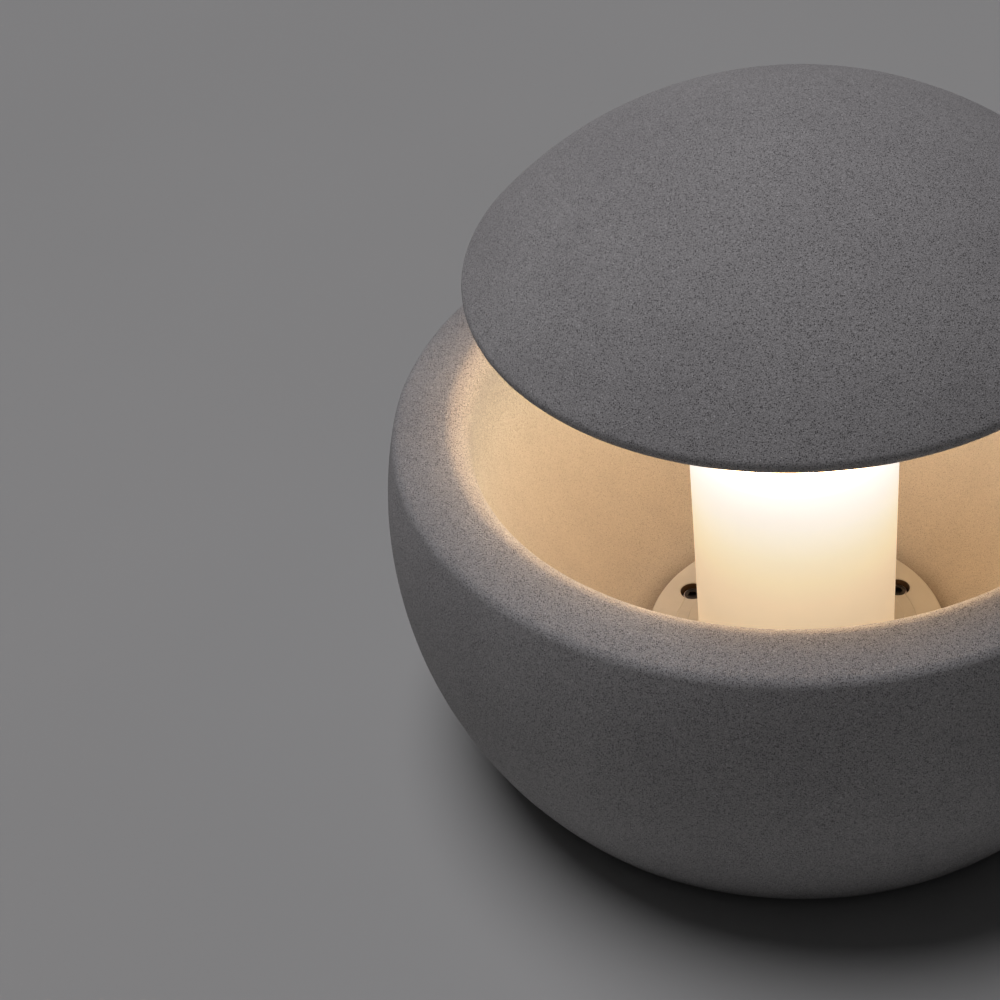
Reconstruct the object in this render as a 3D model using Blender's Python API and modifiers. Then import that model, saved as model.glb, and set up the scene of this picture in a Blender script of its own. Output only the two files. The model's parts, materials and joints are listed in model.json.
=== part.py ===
"""Garden lantern of cast stone, built as its separate pieces.

A stone ball is sliced in two: the lower part is a hollow bowl, the top slice is a cap that floats above
it on an opal tube. Inside the tube a ceramic holder on a steel bracket carries a screw-in lamp.
The cap and the tube lift off along the axis, and the lamp unscrews. Units are metres, +Z is up, and the
origin is at the middle of the feet's undersides.
"""

import math

import bmesh
import bpy
from mathutils import Matrix

MM = 0.001
GAP = 0.3 * MM  # clearance between pieces that touch

# Stone ball
BALL_RADIUS = 150 * MM
BALL_CENTRE_Z = 93 * MM
BOWL_BASE_Z = 2 * MM
BASE_FILLET = 3 * MM
RIM_START_ANGLE = 13.5  # normal angle at which the rim leaves the ball
RIM_ARCS = ((5 * MM, 70), (47.4 * MM, 90), (9.5 * MM, 180))  # radius and the normal angle where each ends
HOLLOW_CENTRE_Z = 121.2 * MM

# Seat of the base plate in the bowl's floor
FLOOR_Z = 17.75 * MM
SEAT_RADIUS = 57.8 * MM
HOLLOW_EDGE_RADIUS = 58.2 * MM

# Rubber feet
FOOT_RADIUS = 11 * MM
FOOT_HEIGHT = 4 * MM
FOOT_RING = 95 * MM
FOOT_RECESS_TOP = FOOT_HEIGHT + GAP

# Cable inlet: a groove across the underside leads to a hole in the floor
INLET_Y = 18 * MM
GROOVE_WIDTH = 12 * MM
GROOVE_TOP_Z = 12 * MM
INLET_HOLE_RADIUS = 9 * MM
CABLE_RADIUS = 3.6 * MM

# Cap
CAP_RADIUS = 114.75 * MM
CAP_EDGE_Z = 194.1 * MM
CAP_EDGE_FILLET = 3.6 * MM
CAP_DOME_RADIUS = 148.35 * MM
CAP_UNDER_Z = CAP_EDGE_Z - CAP_EDGE_FILLET
CAP_RECESS_RADIUS = 46 * MM
CAP_RECESS_DEPTH = 4.6 * MM

# Base plate and its spigot
PLATE_RADIUS = 57 * MM
PLATE_TOP_Z = 25.35 * MM
PLATE_THICKNESS = 6 * MM
PLATE_BOTTOM_Z = PLATE_TOP_Z - PLATE_THICKNESS
PLATE_SCREW_CIRCLE = 46 * MM
PLATE_SCREW_ANGLES = (143, 263, 23)
COUNTERBORE_RADIUS = 4.8 * MM
COUNTERBORE_Z = 20.95 * MM
SPIGOT_INNER = 31 * MM
SPIGOT_OUTER = 34 * MM
SPIGOT_HEIGHT = 10 * MM

# Diffuser tube, slightly wider at the top
TUBE_BOTTOM_Z = PLATE_TOP_Z + GAP
TUBE_TOP_Z = CAP_UNDER_Z - GAP
TUBE_BOTTOM_RADIUS = 37.2 * MM
TUBE_TOP_RADIUS = 39.05 * MM
TUBE_WALL = 2.6 * MM
TUBE_EDGE = 0.5 * MM

# Cap plate and its spigot
CAP_PLATE_RADIUS = 45.5 * MM
CAP_PLATE_THICKNESS = 3 * MM
CAP_SPIGOT_OUTER = 35.8 * MM
CAP_SPIGOT_WALL = 3 * MM
CAP_SPIGOT_HEIGHT = 9 * MM
CAP_SCREW_CIRCLE = 24 * MM
CAP_SCREW_ANGLES = (30, 150, 270)

# Threaded inserts in the stone
INSERT_RADIUS = 3.6 * MM
INSERT_BORE = 2.2 * MM
INSERT_LENGTH = 10 * MM

# Holder bracket: a hat-shaped steel strip
STRIP = 1.5 * MM
BRACKET_WIDTH = 16 * MM
BRACKET_HALF_TOP = 20 * MM
BRACKET_HALF_FEET = 28.5 * MM
BRACKET_TOP_Z = 46.8 * MM
BRACKET_SCREW_X = 24.3 * MM
HOLDER_SCREW_X = 9 * MM

# Ceramic holder for a 27 mm screw cap
HOLDER_BOTTOM_Z = BRACKET_TOP_Z + GAP
HOLDER_TOP_Z = 88 * MM
HOLDER_RADIUS = 20.5 * MM
SOCKET_RADIUS = 15.7 * MM
SOCKET_FLOOR_Z = 59 * MM

# Screw-in lamp, 60 mm across
LAMP_BOTTOM_Z = 63.3 * MM
LAMP_CAP_BOTTOM_Z = 70.5 * MM
LAMP_CAP_TOP_Z = 90.5 * MM
LAMP_CAP_RADIUS = 13.2 * MM
LAMP_CAP_ROOT = 12.3 * MM
LAMP_CAP_INNER = 11.5 * MM
LAMP_THREAD_PITCH = 3.6 * MM
LAMP_THREADS = 5
HOUSING_TOP_Z = 124.5 * MM
GLOBE_RADIUS = 30 * MM
GLOBE_CENTRE_Z = 138.5 * MM
GLOBE_WALL = 1.2 * MM

# Fineness of turned pieces
LARGE_SEGMENTS = 40
MEDIUM_SEGMENTS = 24
SMALL_SEGMENTS = 12
SMOOTH_ANGLE = math.radians(32)

# Materials: base colour, roughness, metallic
FINISHES = {
    "stone": ((0.56, 0.54, 0.53), 0.9, 0.0),
    "plate": ((0.85, 0.81, 0.74), 0.45, 0.0),
    "opal": ((0.93, 0.92, 0.89), 0.35, 0.0),
    "rubber": ((0.03, 0.03, 0.03), 0.8, 0.0),
    "steel": ((0.55, 0.55, 0.56), 0.35, 1.0),
    "dark_steel": ((0.12, 0.11, 0.10), 0.4, 1.0),
    "brass": ((0.72, 0.55, 0.25), 0.35, 1.0),
    "ceramic": ((0.88, 0.87, 0.84), 0.2, 0.0),
    "nickel": ((0.70, 0.69, 0.66), 0.25, 1.0),
    "white_plastic": ((0.88, 0.88, 0.87), 0.4, 0.0),
    "black_glass": ((0.02, 0.02, 0.02), 0.15, 0.0),
    "board": ((0.90, 0.90, 0.88), 0.5, 0.0),
    "brown_lead": ((0.20, 0.08, 0.03), 0.5, 0.0),
    "blue_lead": ((0.04, 0.12, 0.45), 0.5, 0.0),
}


def clear_scene():
    for old in list(bpy.data.objects):
        bpy.data.objects.remove(old, do_unlink=True)


def new_collection(name):
    collection = bpy.data.collections.new(name)
    bpy.context.scene.collection.children.link(collection)
    return collection


clear_scene()
LANTERN = new_collection("stone_lantern")
CUTTERS = new_collection("cutters")
MATERIALS = {}


def material(name):
    if name not in MATERIALS:
        colour, roughness, metallic = FINISHES[name]
        made = bpy.data.materials.new(name)
        made.use_nodes = True
        shader = made.node_tree.nodes["Principled BSDF"]
        shader.inputs["Base Color"].default_value = (*colour, 1.0)
        shader.inputs["Roughness"].default_value = roughness
        shader.inputs["Metallic"].default_value = metallic
        MATERIALS[name] = made
    return MATERIALS[name]


def add_part(name, mesh, finish, parent=None):
    part = bpy.data.objects.new(name, mesh)
    LANTERN.objects.link(part)
    if not mesh.materials:
        mesh.materials.append(material(finish))
    attach(part, parent)
    return part


def attach(part, parent):
    """Parent a piece without moving it."""
    if parent is not None:
        bpy.context.view_layer.update()
        part.parent = parent
        part.matrix_parent_inverse = parent.matrix_world.inverted()


def add_pivot(name, z, parent=None):
    """An empty on the lantern's axis that carries a moving assembly."""
    pivot = bpy.data.objects.new(name, None)
    LANTERN.objects.link(pivot)
    pivot.location = (0.0, 0.0, z)
    if parent is not None:
        pivot.parent = parent
        pivot.location.z = z - parent.location.z
    return pivot


def arc(centre, radius, start, end, steps):
    """Points of an arc in the r-z plane, angles in degrees from +r towards +z."""
    points = []
    for step in range(steps + 1):
        angle = math.radians(start + (end - start) * step / steps)
        points.append((centre[0] + radius * math.cos(angle), centre[1] + radius * math.sin(angle)))
    return points


def tangent_arcs(start, start_angle, arcs, degrees_per_step):
    """Points of arcs that follow each other smoothly, as (radius, end angle of the normal)."""
    points = []
    point = start
    angle = start_angle
    for radius, end_angle in arcs:
        turn = math.radians(angle)
        centre = (point[0] - radius * math.cos(turn), point[1] - radius * math.sin(turn))
        steps = max(2, round(abs(end_angle - angle) / degrees_per_step))
        points += arc(centre, radius, angle, end_angle, steps)[1:]
        point = points[-1]
        angle = end_angle
    return points


def profile_mesh(name, profile, closed):
    """Edges in the XZ plane; a solid piece's profile runs down its outer side."""
    mesh = bpy.data.meshes.new(name)
    edges = [(i, i + 1) for i in range(len(profile) - 1)]
    if closed:
        edges.append((len(profile) - 1, 0))
    mesh.from_pydata([(r, 0.0, z) for r, z in profile], edges, [])
    return mesh


def turned(name, profile, finish, segments=MEDIUM_SEGMENTS, parent=None):
    """A turned piece. A profile whose ends are both on the axis is open, any other is a closed ring."""
    closed = not (profile[0][0] == 0 and profile[-1][0] == 0)
    part = add_part(name, profile_mesh(name, profile, closed), finish, parent)
    turn = part.modifiers.new("turn", "SCREW")
    turn.steps = segments
    turn.render_steps = segments
    turn.use_merge_vertices = True
    turn.merge_threshold = 0.00001
    turn.use_smooth_shade = True
    return part


def add_cutter(name, mesh):
    cutter = bpy.data.objects.new(name, mesh)
    CUTTERS.objects.link(cutter)
    cutter.hide_render = True
    cutter.display_type = "WIRE"
    return cutter


def cut(part, cutter):
    boolean = part.modifiers.new(cutter.name, "BOOLEAN")
    boolean.operation = "DIFFERENCE"
    boolean.solver = "EXACT"
    boolean.object = cutter


def drill(part, x, y, radius, low_z, high_z, segments=SMALL_SEGMENTS):
    """An upright hole from low_z to high_z."""
    mesh = bpy.data.meshes.new("hole")
    shape = bmesh.new()
    bmesh.ops.create_cone(
        shape, cap_ends=True, segments=segments, radius1=radius, radius2=radius, depth=high_z - low_z
    )
    bmesh.ops.translate(shape, verts=shape.verts, vec=(x, y, (low_z + high_z) / 2))
    shape.to_mesh(mesh)
    shape.free()
    cut(part, add_cutter(f"{part.name}_hole_{len(part.modifiers)}", mesh))


def box_mesh(name, low, high):
    mesh = bpy.data.meshes.new(name)
    shape = bmesh.new()
    bmesh.ops.create_cube(shape, size=1.0)
    for vert in shape.verts:
        for axis in range(3):
            vert.co[axis] = (low[axis] + high[axis]) / 2 + vert.co[axis] * (high[axis] - low[axis])
    shape.to_mesh(mesh)
    shape.free()
    return mesh


def baked(part):
    """The piece's mesh with its modifiers applied; the piece itself is removed."""
    bpy.context.view_layer.update()
    depsgraph = bpy.context.evaluated_depsgraph_get()
    mesh = bpy.data.meshes.new_from_object(part.evaluated_get(depsgraph))
    bpy.data.objects.remove(part, do_unlink=True)
    return mesh


def extruded(name, outline, width, finish, parent=None):
    """A strip with the given outline in the XZ plane, width across Y, as a closed mesh."""
    curve = bpy.data.curves.new(name, "CURVE")
    curve.dimensions = "2D"
    curve.fill_mode = "BOTH"
    curve.extrude = width / 2
    spline = curve.splines.new("POLY")
    spline.points.add(len(outline) - 1)
    for point, (x, z) in zip(spline.points, outline):
        point.co = (x, z, 0.0, 1.0)
    spline.use_cyclic_u = True
    blank = bpy.data.objects.new(name + "_blank", curve)
    LANTERN.objects.link(blank)
    mesh = baked(blank)
    shape = bmesh.new()
    shape.from_mesh(mesh)
    bmesh.ops.remove_doubles(shape, verts=shape.verts, dist=0.00001)
    bmesh.ops.rotate(shape, verts=shape.verts, matrix=Matrix.Rotation(math.pi / 2, 3, "X"))
    bmesh.ops.recalc_face_normals(shape, faces=shape.faces)
    shape.to_mesh(mesh)
    shape.free()
    return add_part(name, mesh, finish, parent)


def torus(name, ring_radius, section_radius, z, finish, parent=None):
    bpy.ops.mesh.primitive_torus_add(
        major_radius=ring_radius,
        minor_radius=section_radius,
        major_segments=LARGE_SEGMENTS,
        minor_segments=5,
        location=(0.0, 0.0, z),
    )
    part = bpy.context.object
    for collection in list(part.users_collection):
        collection.objects.unlink(part)
    LANTERN.objects.link(part)
    part.name = name
    part.data.materials.append(material(finish))
    part.data.shade_smooth()
    attach(part, parent)
    return part


def tube_along(name, points, radius, finish):
    """A round lead through the given points."""
    curve = bpy.data.curves.new(name, "CURVE")
    curve.dimensions = "3D"
    curve.bevel_depth = radius
    curve.bevel_resolution = 2
    curve.use_fill_caps = True
    spline = curve.splines.new("POLY")
    spline.points.add(len(points) - 1)
    for point, place in zip(spline.points, points):
        point.co = (*place, 1.0)
    lead = bpy.data.objects.new(name, curve)
    LANTERN.objects.link(lead)
    curve.materials.append(material(finish))
    return lead


def screw_mesh(name, head_radius, head_height, shank_radius, length, finish):
    """A hexagon-socket screw: its seat at z = 0, its head above and its shank below."""
    edge = 0.5 * MM
    profile = [
        (0.0, head_height),
        (head_radius - edge, head_height),
        (head_radius, head_height - edge),
        (head_radius, 0.0),
        (shank_radius, 0.0),
        (shank_radius, edge - length),
        (shank_radius - edge, -length),
        (0.0, -length),
    ]
    blank = turned(name, profile, finish, SMALL_SEGMENTS)
    drill(blank, 0.0, 0.0, head_radius * 0.55, head_height * 0.35, head_height + MM, segments=6)
    cutter = blank.modifiers[-1].object
    mesh = baked(blank)
    bpy.data.objects.remove(cutter, do_unlink=True)
    mesh.name = name
    mesh.shade_smooth()
    mesh.set_sharp_from_angle(angle=SMOOTH_ANGLE)
    return mesh


def place_screw(name, mesh, x, y, seat_z, finish, parent=None, head_down=False):
    screw = add_part(name, mesh, finish)
    screw.location = (x, y, seat_z)
    if head_down:
        screw.rotation_euler.x = math.pi
    attach(screw, parent)
    return screw


def on_circle(radius, degrees):
    angle = math.radians(degrees)
    return radius * math.cos(angle), radius * math.sin(angle)


def bowl_profile():
    """From the floor's middle, up the hollow, over the rim, down the ball to the underside's middle."""
    turn = math.radians(RIM_START_ANGLE)
    rim_start = (BALL_RADIUS * math.cos(turn), BALL_CENTRE_Z + BALL_RADIUS * math.sin(turn))
    rim = [rim_start] + tangent_arcs(rim_start, RIM_START_ANGLE, RIM_ARCS, 15)
    hollow_radius = rim[-1][0]
    seat_angle = math.degrees(math.acos(HOLLOW_EDGE_RADIUS / hollow_radius))
    hollow = arc((0.0, HOLLOW_CENTRE_Z), hollow_radius, -seat_angle, 0, 6)
    floor = [(0.0, FLOOR_Z), (SEAT_RADIUS, FLOOR_Z)]
    fillet_drop = BASE_FILLET + BOWL_BASE_Z - BALL_CENTRE_Z
    foot_angle = math.degrees(math.asin(fillet_drop / BALL_RADIUS))
    ball = [(BALL_RADIUS, BALL_CENTRE_Z)]
    ball += arc((0.0, BALL_CENTRE_Z), BALL_RADIUS, 0, foot_angle, 6)[1:]
    underside = [(ball[-1][0] - BASE_FILLET * 1.6, BOWL_BASE_Z), (0.0, BOWL_BASE_Z)]
    return floor + hollow + rim[::-1] + ball + underside


def make_bowl():
    bowl = turned("stone_bowl", bowl_profile(), "stone", LARGE_SEGMENTS)
    for angle in PLATE_SCREW_ANGLES:
        x, y = on_circle(PLATE_SCREW_CIRCLE, angle)
        drill(bowl, x, y, INSERT_RADIUS + GAP, FLOOR_Z - INSERT_LENGTH - 2 * GAP, FLOOR_Z + MM)
    for angle in (45, 135, 225, 315):
        x, y = on_circle(FOOT_RING, angle)
        drill(bowl, x, y, FOOT_RADIUS + GAP, -MM, FOOT_RECESS_TOP, 16)
    half = GROOVE_WIDTH / 2
    groove = box_mesh("groove", (-half, INLET_Y - half, -MM), (half, BALL_RADIUS, GROOVE_TOP_Z))
    cut(bowl, add_cutter("cable_groove", groove))
    drill(bowl, 0.0, INLET_Y, INLET_HOLE_RADIUS, GROOVE_TOP_Z - MM, FLOOR_Z + MM)
    return bowl


def make_feet():
    edge = 0.6 * MM
    profile = [
        (0.0, FOOT_HEIGHT),
        (FOOT_RADIUS, FOOT_HEIGHT),
        (FOOT_RADIUS, edge),
        (FOOT_RADIUS - edge, 0.0),
        (0.0, 0.0),
    ]
    for number, angle in enumerate((45, 135, 225, 315), 1):
        foot = turned(f"foot_pad_{number}", profile, "rubber", 16)
        foot.location = (*on_circle(FOOT_RING, angle), 0.0)


def insert_profile(low_z, high_z):
    return [(INSERT_BORE, high_z), (INSERT_RADIUS, high_z), (INSERT_RADIUS, low_z), (INSERT_BORE, low_z)]


def make_plate():
    edge = MM
    groove_low, groove_high = PLATE_TOP_Z + 4.05 * MM, PLATE_TOP_Z + 7.25 * MM
    groove_radius = 32.2 * MM
    spigot_top = PLATE_TOP_Z + SPIGOT_HEIGHT
    profile = [
        (0.0, PLATE_TOP_Z),
        (SPIGOT_INNER, PLATE_TOP_Z),
        (SPIGOT_INNER, spigot_top),
        (SPIGOT_OUTER - edge, spigot_top),
        (SPIGOT_OUTER, spigot_top - edge),
        (SPIGOT_OUTER, groove_high),
        (groove_radius, groove_high),
        (groove_radius, groove_low),
        (SPIGOT_OUTER, groove_low),
        (SPIGOT_OUTER, PLATE_TOP_Z),
        (PLATE_RADIUS - edge, PLATE_TOP_Z),
        (PLATE_RADIUS, PLATE_TOP_Z - edge),
        (PLATE_RADIUS, PLATE_BOTTOM_Z),
        (0.0, PLATE_BOTTOM_Z),
    ]
    plate = turned("base_plate", profile, "plate", LARGE_SEGMENTS)
    screw = screw_mesh("plate_screw", 3.6 * MM, 2.2 * MM, 1.9 * MM, 11.5 * MM, "dark_steel")
    for number, angle in enumerate(PLATE_SCREW_ANGLES, 1):
        x, y = on_circle(PLATE_SCREW_CIRCLE, angle)
        drill(plate, x, y, COUNTERBORE_RADIUS, COUNTERBORE_Z, PLATE_TOP_Z + MM, 16)
        drill(plate, x, y, INSERT_BORE + GAP, PLATE_BOTTOM_Z - MM, COUNTERBORE_Z + MM)
        place_screw(f"plate_screw_{number}", screw, x, y, COUNTERBORE_Z + GAP, "dark_steel")
        high = FLOOR_Z - GAP
        anchor = turned(
            f"stone_anchor_{number}", insert_profile(high - INSERT_LENGTH, high), "brass", SMALL_SEGMENTS
        )
        anchor.location = (x, y, 0.0)
    drill(plate, 0.0, INLET_Y, 6.3 * MM, PLATE_BOTTOM_Z - MM, PLATE_TOP_Z + MM)
    torus("lower_o_ring", 33.4 * MM, 0.85 * MM, (groove_low + groove_high) / 2, "rubber")
    seal_low, seal_high = FLOOR_Z + GAP, PLATE_BOTTOM_Z - GAP
    seal = [(50.8 * MM, seal_high), (55.5 * MM, seal_high), (55.5 * MM, seal_low), (50.8 * MM, seal_low)]
    turned("floor_gasket", seal, "rubber", LARGE_SEGMENTS)
    return plate


def make_inlet(plate):
    """Grommet, cord clamp, terminal block and leads, and the earth screw, under the holder."""
    top_z = PLATE_TOP_Z + GAP
    under_z = PLATE_BOTTOM_Z - GAP
    flange, neck = 8.4 * MM, 6.0 * MM
    grommet = turned(
        "cable_grommet",
        [
            (CABLE_RADIUS, top_z + 1.8 * MM),
            (flange - MM, top_z + 1.8 * MM),
            (flange, top_z + 0.8 * MM),
            (flange, top_z),
            (neck, top_z),
            (neck, under_z),
            (flange, under_z),
            (flange - MM, under_z - 3 * MM),
            (CABLE_RADIUS, under_z - 3 * MM),
        ],
        "rubber",
        16,
    )
    grommet.location = (0.0, INLET_Y, 0.0)

    clamp_y, clamp_x, bar = 2 * MM, 9.5 * MM, 2.4 * MM
    arch = arc((0.0, top_z + 3 * MM), 4.2 * MM + bar, 0, 180, 6)
    tunnel = arc((0.0, top_z + 3 * MM), 4.2 * MM, 180, 0, 6)
    foot = 13 * MM
    outline = (
        [(foot, top_z), (foot, top_z + bar)]
        + [(4.2 * MM + bar, top_z + bar)]
        + arch
        + [(-4.2 * MM - bar, top_z + bar), (-foot, top_z + bar), (-foot, top_z), (-4.2 * MM, top_z)]
        + tunnel
        + [(4.2 * MM, top_z)]
    )
    clamp = extruded("cable_clamp", outline, 8 * MM, "white_plastic")
    move_mesh(clamp, (0.0, clamp_y, 0.0))
    small = screw_mesh("clamp_screw", 2.5 * MM, 1.7 * MM, 1.2 * MM, 6.5 * MM, "steel")
    for number, x in enumerate((-clamp_x, clamp_x), 1):
        drill(clamp, x, clamp_y, 1.5 * MM, PLATE_TOP_Z, top_z + bar + MM)
        drill(plate, x, clamp_y, 1.5 * MM, PLATE_TOP_Z - 5 * MM, PLATE_TOP_Z + MM)
        place_screw(f"clamp_screw_{number}", small, x, clamp_y, top_z + bar + GAP, "steel")

    block_low = (-10 * MM, -22 * MM, top_z)
    block_high = (10 * MM, -11 * MM, top_z + 11 * MM)
    block = add_part("terminal_block", box_mesh("terminal_block", block_low, block_high), "white_plastic")
    bevel = block.modifiers.new("edges", "BEVEL")
    bevel.width = 0.8 * MM
    bevel.segments = 2
    for name, x, finish in (("live_lead", -5 * MM, "brown_lead"), ("neutral_lead", 5 * MM, "blue_lead")):
        start = block_high[2] + 2 * GAP
        rise = HOLDER_BOTTOM_Z - 2 * GAP - start
        middle_y = -16 * MM
        route = []
        for step in range(9):
            part_way = step / 8
            bow = 1.2 * MM * math.sin(math.pi * part_way) ** 2
            route.append((x + math.copysign(bow, x), middle_y + bow, start + rise * part_way))
        tube_along(name, route, 1.1 * MM, finish)

    earth_x, earth_y = -18.5 * MM, -16.5 * MM
    washer = turned(
        "earth_washer",
        [(2.0 * MM, top_z + MM), (4.2 * MM, top_z + MM), (4.2 * MM, top_z), (2.0 * MM, top_z)],
        "brass",
        SMALL_SEGMENTS,
    )
    washer.location = (earth_x, earth_y, 0.0)
    earth = screw_mesh("earth_screw", 3.3 * MM, 2.0 * MM, 1.6 * MM, 6.3 * MM, "brass")
    place_screw("earth_screw", earth, earth_x, earth_y, top_z + MM + GAP, "brass")
    drill(plate, earth_x, earth_y, 1.9 * MM, PLATE_TOP_Z - 5.6 * MM, PLATE_TOP_Z + MM)


def move_mesh(part, offset):
    part.data.transform(Matrix.Translation(offset))


def make_bracket(plate):
    low = PLATE_TOP_Z + GAP
    outer, inner, feet = BRACKET_HALF_TOP, BRACKET_HALF_TOP - STRIP, BRACKET_HALF_FEET
    under_top = BRACKET_TOP_Z - STRIP
    right = [(inner, under_top), (inner, low), (feet, low), (feet, low + STRIP), (outer, low + STRIP)]
    right.append((outer, BRACKET_TOP_Z))
    left = [(-x, z) for x, z in right[::-1]]
    bracket = extruded("holder_bracket", right + left, BRACKET_WIDTH, "steel")
    screw = screw_mesh("bracket_screw", 3.0 * MM, 2.0 * MM, 1.6 * MM, 6.3 * MM, "steel")
    for number, x in enumerate((-BRACKET_SCREW_X, BRACKET_SCREW_X), 1):
        drill(bracket, x, 0.0, 1.9 * MM, low - MM, low + STRIP + MM)
        drill(plate, x, 0.0, 1.9 * MM, PLATE_TOP_Z - 5 * MM, PLATE_TOP_Z + MM)
        place_screw(f"bracket_screw_{number}", screw, x, 0.0, low + STRIP + GAP, "steel")
    for x in (-HOLDER_SCREW_X, HOLDER_SCREW_X):
        drill(bracket, x, 0.0, 1.9 * MM, under_top - MM, BRACKET_TOP_Z + MM)


def make_holder():
    rim, flange = 1.5 * MM, 22 * MM
    profile = [
        (0.0, SOCKET_FLOOR_Z),
        (SOCKET_RADIUS, SOCKET_FLOOR_Z),
        (SOCKET_RADIUS, HOLDER_TOP_Z),
        (HOLDER_RADIUS - rim, HOLDER_TOP_Z),
        (HOLDER_RADIUS, HOLDER_TOP_Z - rim),
        (HOLDER_RADIUS, 60 * MM),
        (flange, 57 * MM),
        (flange, HOLDER_BOTTOM_Z),
        (0.0, HOLDER_BOTTOM_Z),
    ]
    body = turned("holder_body", profile, "ceramic")
    screw = screw_mesh("holder_screw", 3.0 * MM, 2.0 * MM, 1.6 * MM, 9.5 * MM, "steel")
    seat_z = BRACKET_TOP_Z - STRIP - GAP
    for number, x in enumerate((-HOLDER_SCREW_X, HOLDER_SCREW_X), 1):
        drill(body, x, 0.0, 1.9 * MM, HOLDER_BOTTOM_Z - MM, HOLDER_BOTTOM_Z + 8.5 * MM)
        place_screw(f"holder_screw_{number}", screw, x, 0.0, seat_z, "steel", head_down=True)
    sleeve_outer, sleeve_inner = SOCKET_RADIUS - GAP, 14.6 * MM
    low, high = SOCKET_FLOOR_Z + 2 * MM, HOLDER_TOP_Z - 0.5 * MM
    sleeve = [(sleeve_inner, high), (sleeve_outer, high), (sleeve_outer, low), (sleeve_inner, low)]
    turned("holder_shell", sleeve, "nickel")

    floor, leaf = SOCKET_FLOOR_Z + GAP, 0.6 * MM
    tip = LAMP_BOTTOM_Z - GAP
    outline = [
        (-9 * MM, floor),
        (-3 * MM, floor),
        (2 * MM, tip - leaf),
        (5 * MM, tip - leaf),
        (5 * MM, tip),
        (1.6 * MM, tip),
        (-3.4 * MM, floor + leaf),
        (-9 * MM, floor + leaf),
    ]
    extruded("holder_contact", outline, 5 * MM, "brass")


def make_diffuser(pivot):
    edge = TUBE_EDGE
    inner_top, inner_bottom = TUBE_TOP_RADIUS - TUBE_WALL, TUBE_BOTTOM_RADIUS - TUBE_WALL
    profile = [
        (inner_top, TUBE_TOP_Z),
        (TUBE_TOP_RADIUS - edge, TUBE_TOP_Z),
        (TUBE_TOP_RADIUS, TUBE_TOP_Z - edge),
        (TUBE_BOTTOM_RADIUS, TUBE_BOTTOM_Z + edge),
        (TUBE_BOTTOM_RADIUS - edge, TUBE_BOTTOM_Z),
        (inner_bottom, TUBE_BOTTOM_Z),
    ]
    return turned("diffuser_tube", profile, "opal", LARGE_SEGMENTS, pivot)


def cap_profile():
    """From the top of the dome, round the edge, to the underside's recess."""
    inner_distance = CAP_DOME_RADIUS - CAP_EDGE_FILLET
    edge_r = CAP_RADIUS - CAP_EDGE_FILLET
    dome_z = CAP_EDGE_Z - math.sqrt(inner_distance**2 - edge_r**2)
    meet = math.degrees(math.atan2(CAP_EDGE_Z - dome_z, edge_r))
    dome = arc((0.0, dome_z), CAP_DOME_RADIUS, 90, meet, 7)
    dome[0] = (0.0, dome_z + CAP_DOME_RADIUS)
    edge = arc((edge_r, CAP_EDGE_Z), CAP_EDGE_FILLET, meet, 0, 2)[1:]
    edge += arc((edge_r, CAP_EDGE_Z), CAP_EDGE_FILLET, 0, -90, 3)[1:]
    recess_z = CAP_UNDER_Z + CAP_RECESS_DEPTH
    recess = [(CAP_RECESS_RADIUS, CAP_UNDER_Z), (CAP_RECESS_RADIUS, recess_z), (0.0, recess_z)]
    return dome + edge + recess


def make_cap(pivot):
    cap = turned("stone_cap", cap_profile(), "stone", LARGE_SEGMENTS, pivot)
    insert_low = CAP_UNDER_Z + CAP_RECESS_DEPTH + GAP
    screw = screw_mesh("cap_screw", 3.6 * MM, 2.2 * MM, 1.9 * MM, 12.8 * MM, "steel")
    plate = make_cap_plate(pivot)
    for number, angle in enumerate(CAP_SCREW_ANGLES, 1):
        x, y = on_circle(CAP_SCREW_CIRCLE, angle)
        top = insert_low + INSERT_LENGTH
        drill(cap, x, y, INSERT_RADIUS + GAP, CAP_UNDER_Z, top + GAP)
        drill(plate, x, y, INSERT_BORE, CAP_UNDER_Z - MM, CAP_UNDER_Z + CAP_PLATE_THICKNESS + MM)
        name = f"cap_screw_{number}"
        place_screw(name, screw, x, y, CAP_UNDER_Z - GAP, "steel", pivot, head_down=True)
        insert = turned(
            f"cap_insert_{number}", insert_profile(insert_low, top), "brass", SMALL_SEGMENTS, pivot
        )
        insert.location = (x, y, 0.0)


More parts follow.
